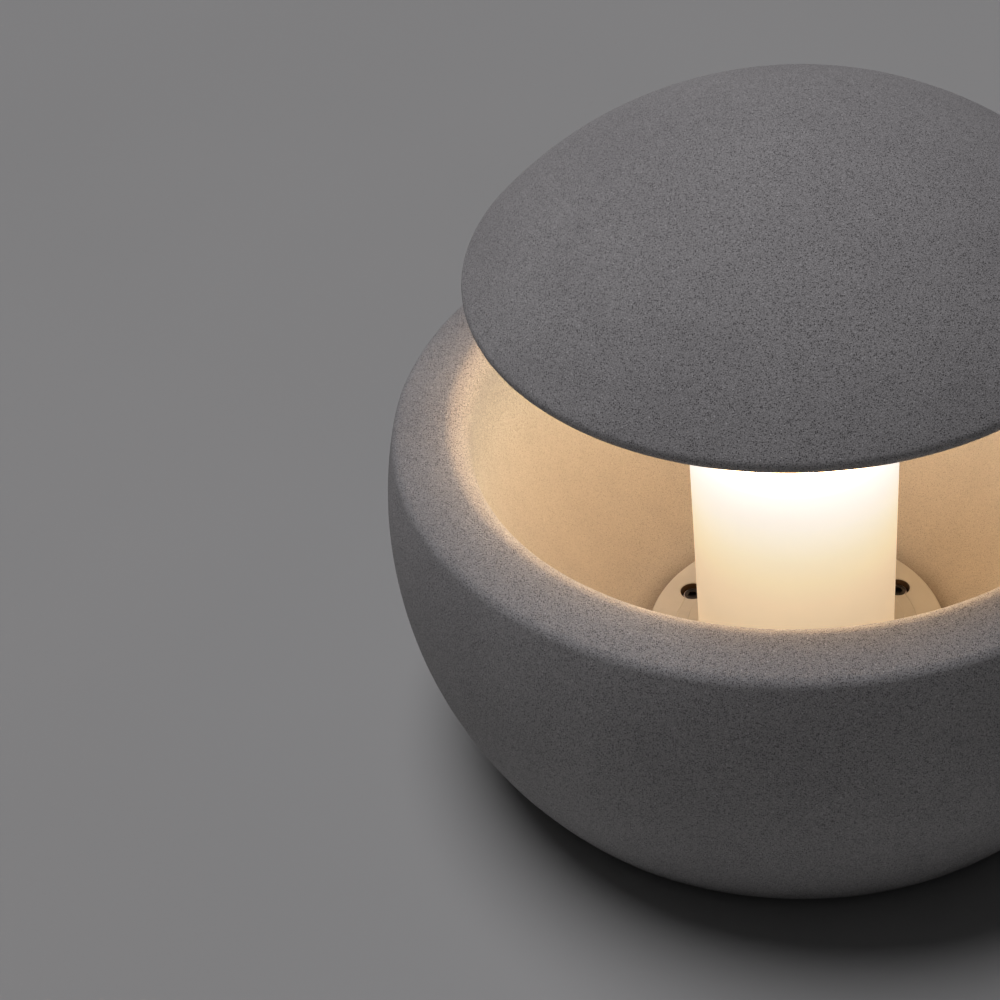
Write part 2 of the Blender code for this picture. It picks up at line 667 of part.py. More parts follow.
def make_cap_plate(pivot):
    edge = 0.6 * MM
    low = CAP_UNDER_Z - CAP_SPIGOT_HEIGHT
    top = CAP_UNDER_Z + CAP_PLATE_THICKNESS
    inner = CAP_SPIGOT_OUTER - CAP_SPIGOT_WALL
    groove_radius, groove_high, groove_low = 34.0 * MM, CAP_UNDER_Z - 2.7 * MM, CAP_UNDER_Z - 5.9 * MM
    profile = [
        (0.0, top),
        (CAP_PLATE_RADIUS - edge, top),
        (CAP_PLATE_RADIUS, top - edge),
        (CAP_PLATE_RADIUS, CAP_UNDER_Z),
        (CAP_SPIGOT_OUTER, CAP_UNDER_Z),
        (CAP_SPIGOT_OUTER, groove_high),
        (groove_radius, groove_high),
        (groove_radius, groove_low),
        (CAP_SPIGOT_OUTER, groove_low),
        (CAP_SPIGOT_OUTER, low + edge),
        (CAP_SPIGOT_OUTER - edge, low),
        (inner, low),
        (inner, CAP_UNDER_Z),
        (0.0, CAP_UNDER_Z),
    ]
    plate = turned("cap_plate", profile, "plate", LARGE_SEGMENTS, pivot)
    torus("cap_o_ring", 35.2 * MM, 0.85 * MM, (groove_low + groove_high) / 2, "rubber", pivot)
    seal_low, seal_high = top + GAP, CAP_UNDER_Z + CAP_RECESS_DEPTH - GAP
    seal = [(34 * MM, seal_high), (44 * MM, seal_high), (44 * MM, seal_low), (34 * MM, seal_low)]
    turned("cap_gasket", seal, "rubber", LARGE_SEGMENTS, pivot)
    return plate


def make_lamp(rise, turn):
    """The screw-in lamp: its contact rides on the rise pivot, and the rest turns with the turn pivot."""
    z = LAMP_BOTTOM_Z
    contact = [(0.0, z + 3 * MM), (5 * MM, z + 3 * MM), (4.6 * MM, z + 1.2 * MM)]
    contact += [(2.5 * MM, z + 0.1 * MM), (0.0, z)]
    turned("bulb_contact", contact, "nickel", 24, rise)
    low = z + 3 * MM + GAP
    high = LAMP_CAP_BOTTOM_Z - GAP
    insulator = [(0.0, high), (12 * MM, high), (5.6 * MM, low), (0.0, low)]
    turned("bulb_insulator", insulator, "black_glass", 24, turn)

    thread_top = LAMP_CAP_TOP_Z - 1.2 * MM
    sleeve = [(LAMP_CAP_INNER, LAMP_CAP_TOP_Z), (LAMP_CAP_RADIUS, LAMP_CAP_TOP_Z)]
    for number in range(LAMP_THREADS):
        root = thread_top - number * LAMP_THREAD_PITCH
        sleeve.append((LAMP_CAP_ROOT, root))
        sleeve.append((LAMP_CAP_RADIUS, root - LAMP_THREAD_PITCH / 2))
    sleeve += [(LAMP_CAP_ROOT, LAMP_CAP_BOTTOM_Z), (LAMP_CAP_INNER, LAMP_CAP_BOTTOM_Z)]
    turned("bulb_screw_cap", sleeve, "nickel", 24, turn)

    base = LAMP_CAP_TOP_Z + GAP
    housing = [
        (0.0, base + 2.2 * MM),
        (11.5 * MM, base + 2.2 * MM),
        (24.8 * MM, 119 * MM),
        (27.4 * MM, HOUSING_TOP_Z),
        (28.9 * MM, HOUSING_TOP_Z),
        (28.6 * MM, 121 * MM),
        (25.6 * MM, 113 * MM),
        (14.4 * MM, base + 1.5 * MM),
        (13.6 * MM, base),
        (0.0, base),
    ]
    turned("bulb_housing", housing, "white_plastic", MEDIUM_SEGMENTS, turn)
    board_low, board_high, board = 121.6 * MM, 123.2 * MM, 25 * MM
    disc = [(0.0, board_high), (board, board_high), (board, board_low), (0.0, board_low)]
    turned("bulb_led_board", disc, "board", MEDIUM_SEGMENTS, turn)

    opening = HOUSING_TOP_Z + GAP - GLOBE_CENTRE_Z
    outer_end = math.degrees(math.asin(opening / GLOBE_RADIUS))
    inner_radius = GLOBE_RADIUS - GLOBE_WALL
    inner_end = math.degrees(math.asin(opening / inner_radius))
    outside = arc((0.0, GLOBE_CENTRE_Z), GLOBE_RADIUS, 90, 0, 5)[:-1]
    outside += arc((0.0, GLOBE_CENTRE_Z), GLOBE_RADIUS, 0, outer_end, 2)
    inside = arc((0.0, GLOBE_CENTRE_Z), inner_radius, inner_end, 90, 6)
    outside[0] = (0.0, GLOBE_CENTRE_Z + GLOBE_RADIUS)
    inside[-1] = (0.0, GLOBE_CENTRE_Z + inner_radius)
    turned("bulb_globe", outside + inside, "opal", MEDIUM_SEGMENTS, turn)


def main():
    make_bowl()
    make_feet()
    plate = make_plate()
    make_inlet(plate)
    make_bracket(plate)
    make_holder()
    tube_lift = add_pivot("diffuser_lift_pivot", TUBE_BOTTOM_Z)
    make_diffuser(tube_lift)
    make_cap(add_pivot("cap_lift_pivot", CAP_UNDER_Z, tube_lift))
    lamp_rise = add_pivot("lamp_rise_pivot", LAMP_BOTTOM_Z)
    make_lamp(lamp_rise, add_pivot("lamp_turn_pivot", LAMP_BOTTOM_Z, lamp_rise))


main()
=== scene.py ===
"""Looks of the ball-shaped garden lantern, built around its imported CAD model.

Each CAD solid is replaced by a finely made mesh in the same place: cast-stone bowl and cap, glowing opal
tube, moulded base plate, and the lamp, holder, fasteners and seals that are inside. Units are metres,
+Z is up, and the lantern stands on the floor at z = 0.
"""

import json
import math

import bmesh
import bpy
from mathutils import Matrix, Vector, noise


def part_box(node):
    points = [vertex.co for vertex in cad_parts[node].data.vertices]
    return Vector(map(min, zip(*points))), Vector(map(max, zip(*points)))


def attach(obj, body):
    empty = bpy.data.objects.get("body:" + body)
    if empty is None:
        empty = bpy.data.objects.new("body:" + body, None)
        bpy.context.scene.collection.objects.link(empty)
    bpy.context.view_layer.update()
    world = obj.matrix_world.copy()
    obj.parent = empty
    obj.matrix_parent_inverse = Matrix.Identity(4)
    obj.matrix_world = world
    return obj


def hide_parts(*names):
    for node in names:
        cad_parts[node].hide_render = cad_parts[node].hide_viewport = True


MM = 0.001
GAP = 0.3 * MM
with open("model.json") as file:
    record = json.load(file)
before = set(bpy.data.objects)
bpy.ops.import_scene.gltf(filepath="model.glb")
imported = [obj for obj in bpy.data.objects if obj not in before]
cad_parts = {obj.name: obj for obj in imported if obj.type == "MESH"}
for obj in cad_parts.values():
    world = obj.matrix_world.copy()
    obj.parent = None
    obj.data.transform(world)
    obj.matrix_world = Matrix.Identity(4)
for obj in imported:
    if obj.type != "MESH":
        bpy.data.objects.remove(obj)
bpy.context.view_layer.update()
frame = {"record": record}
BODY_OF = {
    node: body for body, nodes in frame["record"]["behaviour"]["bodies"].items() for node in nodes
}

# Stone ball, read from the CAD bowl
BALL_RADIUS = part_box("stone_bowl")[1].x
BALL_CENTRE_Z = 93 * MM
BOWL_BASE_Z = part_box("stone_bowl")[0].z
BASE_FILLET = 4 * MM
RIM_START_ANGLE = 13.5
RIM_ARCS = ((5 * MM, 70), (47.4 * MM, 90), (9.5 * MM, 180))  # radius and the normal angle where each ends
FLOOR_Z = 17.75 * MM
HOLLOW_CENTRE_Z = 121.2 * MM
SEAT_RADIUS = 57.8 * MM
HOLLOW_EDGE_RADIUS = 58.2 * MM
STONE_GRID = 2.6 * MM
STONE_SEGMENTS = 300
# Distances from the ball's centre between which the hollow's finer grain, and its painted shade and warm
# light, give way to the rim's
STONE_SMOOTH_WITHIN = (110 * MM, 124 * MM)
STONE_PAINTED_LIGHT_WITHIN = (121 * MM, 130 * MM)
# Painted light and shade in the hollow by height: painted shade beside the base plate, painted warm lamp
# light above it and painted cool shade under the lip
STONE_PAINTED_LIGHT_HEIGHTS = (20 * MM, 125 * MM)
STONE_PAINTED_LIGHT_STOPS = (
    (0.0, (0.84, 0.72, 0.57)),
    (0.04, (1.12, 1.00, 0.82)),
    (0.1, (1.12, 1.00, 0.82)),
    (0.76, (0.87, 0.94, 0.97)),
    (1.0, (0.66, 0.75, 0.84)),
)
SAND_SCALE = 2700  # grains per metre
PORE_SCALE = 1600
WHITE_GRAIN_SCALE = 1500

# Camera, aimed from the ball's centre; distances are in ball radii
CAMERA_LENS = 98.07
CAMERA_ELEVATION = math.radians(38.698)
CAMERA_ROLL = math.radians(-5.669)
CAMERA_DISTANCE = 6.701
CAMERA_ACROSS = 0.723
CAMERA_UP = -0.049

# Studio: one large softbox, a faint all-round light and a pale floor
SUN_FROM = (-0.52, 0.50, 2.4)
SUN_STRENGTH = 1.28
SUN_WIDTH = 34  # degrees across, as seen from the lantern
SUN_TINT = (0.97, 0.95, 1.0)
ROOM_TINT = (0.95, 0.94, 1.0, 1.0)
ROOM_STRENGTH = 0.03
FLOOR_HALF = 8.0

# Glow of the opal tube: height in millimetres and emitted red, green and blue, brightest beside the lamp
TUBE_PEAK = 26.0
TUBE_GLOW = (
    (26, (0.50, 0.34, 0.20)),
    (57, (0.565, 0.425, 0.28)),
    (70, (0.64, 0.49, 0.325)),
    (80, (0.70, 0.575, 0.375)),
    (90, (0.725, 0.635, 0.46)),
    (100, (0.775, 0.725, 0.60)),
    (110, (0.82, 0.79, 0.74)),
    (120, (1.00, 0.96, 0.92)),
    (124, (2.2, 1.8, 1.4)),
    (127, (8.0, 5.5, 3.4)),
    (131, (26.0, 16.2, 8.2)),
    (142, (26.0, 16.2, 8.2)),
    (150, (14.0, 9.6, 6.0)),
    (165, (8.0, 5.8, 3.9)),
    (190, (2.0, 1.4, 0.9)),
)

# Repeated places
FOOT_ANGLES = (45, 135, 225, 315)
PLATE_SCREW_CIRCLE = 46 * MM
PLATE_SCREW_ANGLES = (143, 263, 23)
CAP_SCREW_CIRCLE = 24 * MM
CAP_SCREW_ANGLES = (30, 150, 270)
FOOT_CIRCLE = 95 * MM
PLATE_TOP_Z = 25.35 * MM
INLET_Y = 18 * MM  # the cable's way in, behind the lamp holder
GROOVE_HALF_WIDTH = 6 * MM
GROOVE_TOP_Z = 12 * MM
INSERT_HOLE = 3.9 * MM
M3_HOLE = 1.9 * MM
CLAMP_SCREW_HOLE = 1.5 * MM
LEAD_X = 5 * MM
LAMP_THREAD_PITCH = 3.6 * MM
ROUND = 160  # segments of large turned pieces
SMALL_ROUND = 64
SHARP_ANGLE = math.radians(34)
ON_AXIS = 1e-7


# ---------------------------------------------------------------- shader helpers


def start_material(name):
    """A new node material; returns it with its tree and Principled shader."""
    made = bpy.data.materials.new(name)
    made.use_nodes = True
    return made, made.node_tree, made.node_tree.nodes["Principled BSDF"]


def node(tree, kind, inputs=None, **settings):
    made = tree.nodes.new("ShaderNode" + kind)
    for key, value in settings.items():
        setattr(made, key, value)
    for key, value in (inputs or {}).items():
        if isinstance(value, bpy.types.NodeSocket):
            tree.links.new(value, made.inputs[key])
        else:
            made.inputs[key].default_value = value
    return made


def object_place(tree):
    return node(tree, "TexCoord").outputs["Object"]


def mottle(tree, scale, detail=3.0, roughness=0.55, place=None):
    """Cloudy noise from 0 to 1, scale in lumps per metre."""
    inputs = {"Scale": scale, "Detail": detail, "Roughness": roughness}
    inputs["Vector"] = place or object_place(tree)
    return node(tree, "TexNoise", inputs).outputs["Fac"]


def ramp(tree, value, stops, interpolation="LINEAR"):
    """Colour along a value: stops are (position, colour)."""
    made = node(tree, "ValToRGB", {"Fac": value})
    made.color_ramp.interpolation = interpolation
    elements = made.color_ramp.elements
    elements[0].position = stops[0][0]
    elements[-1].position = stops[-1][0]
    for position, _ in stops[1:-1]:
        elements.new(position)
    for element, (_, colour) in zip(elements, stops):
        element.color = (*colour, 1.0)
    return made.outputs["Color"]


def span(tree, value, low, high, to_low=0.0, to_high=1.0):
    """Value from low..high mapped to to_low..to_high, held at the ends."""
    inputs = {"Value": value, "From Min": low, "From Max": high, "To Min": to_low, "To Max": to_high}
    return node(tree, "MapRange", inputs).outputs["Result"]


def blend_colour(tree, share, first, second, mode="MIX"):
    colours = {0: share}
    for socket, colour in ((6, first), (7, second)):
        colours[socket] = colour if isinstance(colour, bpy.types.NodeSocket) else (*colour, 1.0)
    return node(tree, "Mix", colours, data_type="RGBA", blend_type=mode).outputs[2]


def combine(tree, operation, first, second):
    return node(tree, "Math", {0: first, 1: second}, operation=operation).outputs["Value"]


def relief(tree, shader, height, distance, strength=1.0):
    bump = node(tree, "Bump", {"Height": height, "Distance": distance, "Strength": strength})
    tree.links.new(bump.outputs["Normal"], shader.inputs["Normal"])


def grains(tree, scale, radius, share, seed):
    """Round grains of about radius (in cell sizes) in a share of the cells: 1 inside, 0 outside."""
    place = node(tree, "VectorMath", {0: object_place(tree), 1: (seed, seed, seed)}, operation="ADD")
    cells = node(tree, "TexVoronoi", {"Vector": place.outputs["Vector"], "Scale": scale})
    near = span(tree, cells.outputs["Distance"], radius, radius * 0.55)
    pick = node(tree, "SeparateColor", {"Color": cells.outputs["Color"]}).outputs["Red"]
    chosen = span(tree, pick, share + 0.02, share - 0.02)
    return combine(tree, "MULTIPLY", near, chosen)


# ---------------------------------------------------------------- materials


def stone_material():
    """Cast sandstone: pale grey, with sand, dark pores and a few white grains; smoother in the hollow, whose
    colour carries painted shade by the plate and under the lip and painted warm light between.
    """
    made, tree, shader = start_material("stone")
    ball_centre = (0.0, 0.0, BALL_CENTRE_Z)
    away = node(tree, "VectorMath", {0: object_place(tree), 1: ball_centre}, operation="DISTANCE")
    coarse = span(tree, away.outputs["Value"], *STONE_SMOOTH_WITHIN, 0.35, 1.0)
    clouds = ramp(tree, mottle(tree, 16, 4), [(0.3, (0.488, 0.474, 0.470)), (0.7, (0.560, 0.546, 0.538))])
    blotches = ramp(tree, mottle(tree, 120, 3), [(0.3, (0.95, 0.95, 0.95)), (0.7, (1.0, 1.0, 1.0))])
    body = blend_colour(tree, 1.0, clouds, blotches, "MULTIPLY")
    sand = mottle(tree, SAND_SCALE, 1, 0.6)
    sand = ramp(tree, sand, [(0.32, (0.48, 0.48, 0.48)), (0.60, (1.09, 1.09, 1.09))])
    body = blend_colour(tree, coarse, body, sand, "MULTIPLY")
    dark = combine(tree, "MULTIPLY", grains(tree, PORE_SCALE, 0.48, 0.32, 3.1), coarse)
    white = combine(tree, "MULTIPLY", grains(tree, WHITE_GRAIN_SCALE, 0.46, 0.05, 5.3), coarse)
    body = blend_colour(tree, combine(tree, "MULTIPLY", dark, 0.85), body, (0.12, 0.115, 0.115))
    body = blend_colour(tree, combine(tree, "MULTIPLY", white, 0.75), body, (0.80, 0.79, 0.78))
    height = node(tree, "SeparateXYZ", {"Vector": object_place(tree)}).outputs["Z"]
    # Painted shade beside the plate and under the lip, and painted warm lamp light between, multiplied into
    # the hollow's colour
    painted_light = ramp(tree, span(tree, height, *STONE_PAINTED_LIGHT_HEIGHTS), STONE_PAINTED_LIGHT_STOPS)
    inside = span(tree, away.outputs["Value"], *STONE_PAINTED_LIGHT_WITHIN, 1.0, 0.0)
    body = blend_colour(tree, inside, body, blend_colour(tree, 1.0, body, painted_light, "MULTIPLY"))
    tree.links.new(body, shader.inputs["Base Color"])
    tree.links.new(span(tree, mottle(tree, 300), 0.3, 0.7, 0.82, 0.96), shader.inputs["Roughness"])
    shader.inputs["Specular IOR Level"].default_value = 0.25
    pits = combine(tree, "SUBTRACT", mottle(tree, 1700, 1, 0.6), combine(tree, "MULTIPLY", dark, 0.5))
    relief(tree, shader, pits, 0.15 * MM, 1.0)
    return made


def plate_material():
    """Cream moulded plate with a faint satin grain."""
    made, tree, shader = start_material("plate")
    tint = ramp(tree, mottle(tree, 45, 4), [(0.3, (0.645, 0.585, 0.49)), (0.7, (0.695, 0.635, 0.54))])
    tree.links.new(tint, shader.inputs["Base Color"])
    tree.links.new(span(tree, mottle(tree, 500), 0.3, 0.7, 0.38, 0.55), shader.inputs["Roughness"])
    relief(tree, shader, mottle(tree, 1400, 2), 0.06 * MM, 0.5)
    return made


def opal_tube_material(low_z, high_z):
    """Opal tube lit from inside: white-hot beside the lamp's globe and cream towards its foot."""
    made, tree, shader = start_material("opal_tube")
    height = node(tree, "SeparateXYZ", {"Vector": object_place(tree)}).outputs["Z"]
    stops = []
    for z, glow in TUBE_GLOW:
        stops.append(((z * MM - low_z) / (high_z - low_z), [part / TUBE_PEAK for part in glow]))
    colour = ramp(tree, span(tree, height, low_z, high_z), stops)
    cloud = ramp(tree, mottle(tree, 30, 2), [(0.3, (0.97, 0.97, 0.97)), (0.7, (1.0, 1.0, 1.0))])
    tree.links.new(blend_colour(tree, 1.0, colour, cloud, "MULTIPLY"), shader.inputs["Emission Color"])
    shader.inputs["Emission Strength"].default_value = TUBE_PEAK
    shader.inputs["Base Color"].default_value = (0.34, 0.33, 0.30, 1.0)
    shader.inputs["Roughness"].default_value = 0.42
    relief(tree, shader, mottle(tree, 260, 2), 0.05 * MM, 0.25)
    return made


def opal_globe_material():
    """The lamp's opal globe, brightest over its middle."""
    made, tree, shader = start_material("opal_globe")
    cloud = mottle(tree, 60, 2)
    glow = ramp(tree, cloud, [(0.3, (1.0, 0.86, 0.64)), (0.7, (1.0, 0.90, 0.70))])
    tree.links.new(glow, shader.inputs["Emission Color"])
    shader.inputs["Emission Strength"].default_value = 2.2
    shader.inputs["Base Color"].default_value = (0.9, 0.89, 0.85, 1.0)
    shader.inputs["Roughness"].default_value = 0.35
    relief(tree, shader, cloud, 0.05 * MM, 0.2)
    return made


def metal_material(name, dark, light, smooth, rough, scratches=900):
    """Metal with a cloudy colour, uneven gloss and fine tool marks."""
    made, tree, shader = start_material(name)
    tree.links.new(ramp(tree, mottle(tree, 160, 4), [(0.3, dark), (0.7, light)]), shader.inputs["Base Color"])
    tree.links.new(span(tree, mottle(tree, 420, 3), 0.3, 0.7, smooth, rough), shader.inputs["Roughness"])
    shader.inputs["Metallic"].default_value = 1.0
    stretched = node(tree, "Mapping", {"Vector": object_place(tree), "Scale": (1.0, 1.0, 9.0)})
    marks = mottle(tree, scratches, 2, 0.6, stretched.outputs["Vector"])
    relief(tree, shader, marks, 0.03 * MM, 0.5)
    return made


def coated_material(name, dark, light, smooth, rough, grain, depth, specular=0.5):
    """Plastic, rubber, glaze or enamel with a slightly uneven colour, gloss and surface."""
    made, tree, shader = start_material(name)
    tree.links.new(ramp(tree, mottle(tree, 90, 4), [(0.3, dark), (0.7, light)]), shader.inputs["Base Color"])
    tree.links.new(span(tree, mottle(tree, 380, 3), 0.3, 0.7, smooth, rough), shader.inputs["Roughness"])
    shader.inputs["Specular IOR Level"].default_value = specular
    relief(tree, shader, mottle(tree, grain, 2), depth, 0.5)
    return made


def make_materials():
    tube_low, tube_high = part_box("diffuser_tube")
    made = {
        "stone": stone_material(),
        "plate": plate_material(),
        "opal_tube": opal_tube_material(tube_low.z, tube_high.z),
        "opal_globe": opal_globe_material(),
        "rubber": coated_material(
            "rubber", (0.018, 0.018, 0.019), (0.04, 0.04, 0.041), 0.65, 0.85, 1500, 0.05 * MM, 0.3
        ),
        "steel": metal_material("steel", (0.50, 0.51, 0.53), (0.64, 0.65, 0.66), 0.24, 0.42),
        "dark_steel": metal_material("dark_steel", (0.050, 0.042, 0.038), (0.095, 0.085, 0.078), 0.30, 0.48),
        "brass": metal_material("brass", (0.62, 0.45, 0.19), (0.78, 0.60, 0.29), 0.25, 0.42),
        "nickel": metal_material("nickel", (0.62, 0.61, 0.58), (0.76, 0.75, 0.72), 0.16, 0.32, 600),
        "ceramic": coated_material(
            "ceramic", (0.80, 0.79, 0.76), (0.87, 0.865, 0.84), 0.10, 0.24, 220, 0.08 * MM
        ),
        "white_plastic": coated_material(
            "white_plastic", (0.80, 0.80, 0.79), (0.86, 0.86, 0.855), 0.34, 0.48, 1300, 0.04 * MM
        ),
        "black_glass": coated_material(
            "black_glass", (0.012, 0.012, 0.013), (0.03, 0.03, 0.032), 0.08, 0.2, 300, 0.05 * MM
        ),
        "led_board": coated_material(
            "led_board", (0.82, 0.82, 0.80), (0.89, 0.89, 0.87), 0.35, 0.5, 900, 0.03 * MM
        ),
        # Dark brown painted shade for the walls and floors of the plate's counterbores
        "painted_shade_bore": coated_material(
            "painted_shade_bore", (0.085, 0.046, 0.022), (0.125, 0.070, 0.034), 0.6, 0.8, 900, 0.05 * MM, 0.3
        ),
        # Light pinkish painted highlight for the rounded top edge of the dark screw heads
        "painted_highlight_edge": coated_material(
            "painted_highlight_edge", (0.62, 0.50, 0.45), (0.78, 0.66, 0.60), 0.4, 0.6, 1500, 0.02 * MM
        ),
        "brown_lead": coated_material(
            "brown_lead", (0.15, 0.06, 0.025), (0.21, 0.09, 0.04), 0.4, 0.55, 900, 0.03 * MM
        ),
        "blue_lead": coated_material(
            "blue_lead", (0.03, 0.10, 0.38), (0.05, 0.14, 0.48), 0.4, 0.55, 900, 0.03 * MM
        ),
    }
    return made


FINISHES = make_materials()


# ---------------------------------------------------------------- mesh helpers


def arc(centre, radius, start, end, steps):
    """Points of an arc in the r-z plane, angles in degrees from +r towards +z."""
    points = []
    for step in range(steps + 1):
        angle = math.radians(start + (end - start) * step / steps)
        points.append((centre[0] + radius * math.cos(angle), centre[1] + radius * math.sin(angle)))
    return points


def tangent_arcs(start, start_angle, arcs, degrees_per_step):
    """Points of arcs that follow each other smoothly, as (radius, end angle of the normal)."""
    points = []
    point = start
    angle = start_angle
    for radius, end_angle in arcs:
        turn = math.radians(angle)
        centre = (point[0] - radius * math.cos(turn), point[1] - radius * math.sin(turn))
        steps = max(2, round(abs(end_angle - angle) / degrees_per_step))
        points += arc(centre, radius, angle, end_angle, steps)[1:]
        point = points[-1]
        angle = end_angle
    return points


def rounded(corners, closed=False, steps=5):
    """An outline whose corners (x, y, fillet) are rounded; (x, y) corners stay sharp."""
    points = []
    last = len(corners) - 1
    for place, corner in enumerate(corners):
        here = Vector(corner[:2])
        fillet = corner[2] if len(corner) > 2 else 0.0
        if fillet == 0.0 or (not closed and place in (0, last)):
            points.append(tuple(here))
            continue
        before = (Vector(corners[place - 1][:2]) - here).normalized()
        after = (Vector(corners[(place + 1) % len(corners)][:2]) - here).normalized()
        half = before.angle(after) / 2
        middle = here + (before + after).normalized() * fillet / math.sin(half)
        first = here + before * fillet / math.tan(half) - middle
        final = here + after * fillet / math.tan(half) - middle
        turn = first.angle(final)
        for step in range(steps + 1):
            share = step / steps
            spoke = first * math.sin((1 - share) * turn) + final * math.sin(share * turn)
            points.append(tuple(middle + spoke / math.sin(turn)))
    return points


def densified(points, spacing):
    """The same open outline with points added along its long stretches."""
    dense = [points[0]]
    for start, end in zip(points, points[1:]):
        pieces = max(1, math.ceil((Vector(end) - Vector(start)).length / spacing))
        for piece in range(1, pieces + 1):
            dense.append(tuple(Vector(start).lerp(Vector(end), piece / pieces)))
    return dense


def mesh_from(shape, name):
    bmesh.ops.recalc_face_normals(shape, faces=shape.faces)
    mesh = bpy.data.meshes.new(name)
    shape.to_mesh(mesh)
    shape.free()
    mesh.shade_smooth()
    mesh.set_sharp_from_angle(angle=SHARP_ANGLE)
    return mesh


def turned(profile, segments=ROUND, closed=None, wave=None, at=(0.0, 0.0)):
    """A turned solid about a vertical axis at a place; wave(r, z, angle) may vary its radius."""
    if closed is None:
        closed = not (profile[0][0] < ON_AXIS and profile[-1][0] < ON_AXIS)
    shape = bmesh.new()
    rings = []
    for radius, z in profile:
        steps = 1 if radius < ON_AXIS else segments
        ring = []
        for step in range(steps):
            angle = 2 * math.pi * step / segments
            reach = wave(radius, z, angle) if wave and steps > 1 else radius
            x, y = at[0] + reach * math.cos(angle), at[1] + reach * math.sin(angle)
            ring.append(shape.verts.new((x, y, z)))
        rings.append(ring)
    pairs = list(zip(rings, rings[1:]))
    if closed:
        pairs.append((rings[-1], rings[0]))
    for near, far in pairs:
        for step in range(segments):
            after = (step + 1) % segments
            corners = [near[step % len(near)], near[after % len(near)]]
            corners += [far[after % len(far)], far[step % len(far)]]
            corners = list(dict.fromkeys(corners))
            if len(corners) > 2:
                shape.faces.new(corners)
    return mesh_from(shape, "turned")


def cylinder(x, y, radius, low, high, segments=48):
    return turned([(0.0, high), (radius, high), (radius, low), (0.0, low)], segments, at=(x, y))


def block(low, high, bevel=0.0):
    """A box with rounded edges."""
    shape = bmesh.new()
    bmesh.ops.create_cube(shape, size=1.0)
    for vert in shape.verts:
        for axis in range(3):
            vert.co[axis] = (low[axis] + high[axis]) / 2 + vert.co[axis] * (high[axis] - low[axis])
    if bevel:
        bmesh.ops.bevel(shape, geom=shape.edges[:], offset=bevel, segments=3, profile=0.5, affect="EDGES")
    return mesh_from(shape, "block")


def strip(outline, low_y, high_y, bevel=0.0):
    """A plate with the given outline in the XZ plane, from low_y to high_y, its edges rounded."""
    shape = bmesh.new()
    front = shape.faces.new([shape.verts.new((x, low_y, z)) for x, z in outline])
    made = bmesh.ops.extrude_face_region(shape, geom=[front])
    moved = [item for item in made["geom"] if isinstance(item, bmesh.types.BMVert)]
    bmesh.ops.translate(shape, verts=moved, vec=(0.0, high_y - low_y, 0.0))
    if bevel:
        ends = [
            edge
            for edge in shape.edges
            if abs(edge.verts[0].co.y - edge.verts[1].co.y) < ON_AXIS
        ]
        bmesh.ops.bevel(shape, geom=ends, offset=bevel, segments=2, profile=0.5, affect="EDGES")
    return mesh_from(shape, "strip")


def swept(points, radius, sides):
    """A round tube through points, capped at both ends; the route runs mainly upwards."""
    shape = bmesh.new()
    rings = []
    for place, point in enumerate(points):
        ahead = points[min(place + 1, len(points) - 1)]
        behind = points[max(place - 1, 0)]
        along = (ahead - behind).normalized()
        first = along.cross(Vector((0.0, 1.0, 0.0))).normalized()
        second = along.cross(first)
        ring = []
        for step in range(sides):
            angle = 2 * math.pi * step / sides
            spoke = first * math.cos(angle) + second * math.sin(angle)
            ring.append(shape.verts.new(point + spoke * radius))
        rings.append(ring)
    for near, far in zip(rings, rings[1:]):
        for step in range(sides):
            after = (step + 1) % sides
            shape.faces.new((near[step], near[after], far[after], far[step]))
    shape.faces.new(rings[0])
    shape.faces.new(rings[-1])
    return mesh_from(shape, "swept")


def temporary(mesh):
    made = bpy.data.objects.new("temporary", mesh)
    bpy.context.scene.collection.objects.link(made)
    return made


def joined(meshes):
    """One mesh that holds several separate ones."""
    shape = bmesh.new()
    for mesh in meshes:
        shape.from_mesh(mesh)
    whole = bpy.data.meshes.new("joined")
    shape.to_mesh(whole)
    shape.free()
    return whole


def carved(mesh, *cutters, operation="DIFFERENCE"):
    """The mesh with each cutter taken away in turn."""
    body = temporary(mesh)
    tools = []
    for cutter in cutters:
        tool = temporary(cutter)
        tools.append(tool)
        boolean = body.modifiers.new("carve", "BOOLEAN")
        boolean.operation = operation
        boolean.solver = "EXACT"
        boolean.object = tool
    bpy.context.view_layer.update()
    evaluated = body.evaluated_get(bpy.context.evaluated_depsgraph_get())
    result = bpy.data.meshes.new_from_object(evaluated)
    for item in [body, *tools]:
        bpy.data.objects.remove(item, do_unlink=True)
    result.shade_smooth()
    result.set_sharp_from_angle(angle=SHARP_ANGLE)
    return result


def moved(mesh, matrix):
    mesh.transform(matrix)
    if matrix.determinant() < 0:
        mesh.flip_normals()
    return mesh


def on_circle(radius, degrees):
    angle = math.radians(degrees)
    return radius * math.cos(angle), radius * math.sin(angle)


def centre_of(name):
    """Middle of a CAD node's box."""
    low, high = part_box(name)
    return (low + high) / 2


def add_piece(name, mesh, finish, body, *stands_for):
    """A piece that rides on a body, takes a slot's finish and stands for CAD nodes."""
    piece = bpy.data.objects.new(name, mesh)
    bpy.context.scene.collection.objects.link(piece)
    mesh.materials.clear()
    mesh.materials.append(FINISHES[finish])
    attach(piece, body)
    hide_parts(*stands_for)
    return piece


def stand_in(cad_node, mesh, finish):
    return add_piece("fine_" + cad_node, mesh, finish, BODY_OF[cad_node], cad_node)


def second_finish(piece, finish, chosen):
    """Gives the faces that chosen picks another finish."""
    piece.data.materials.append(FINISHES[finish])
    for face in piece.data.polygons:
        if chosen(face):
            face.material_index = 1


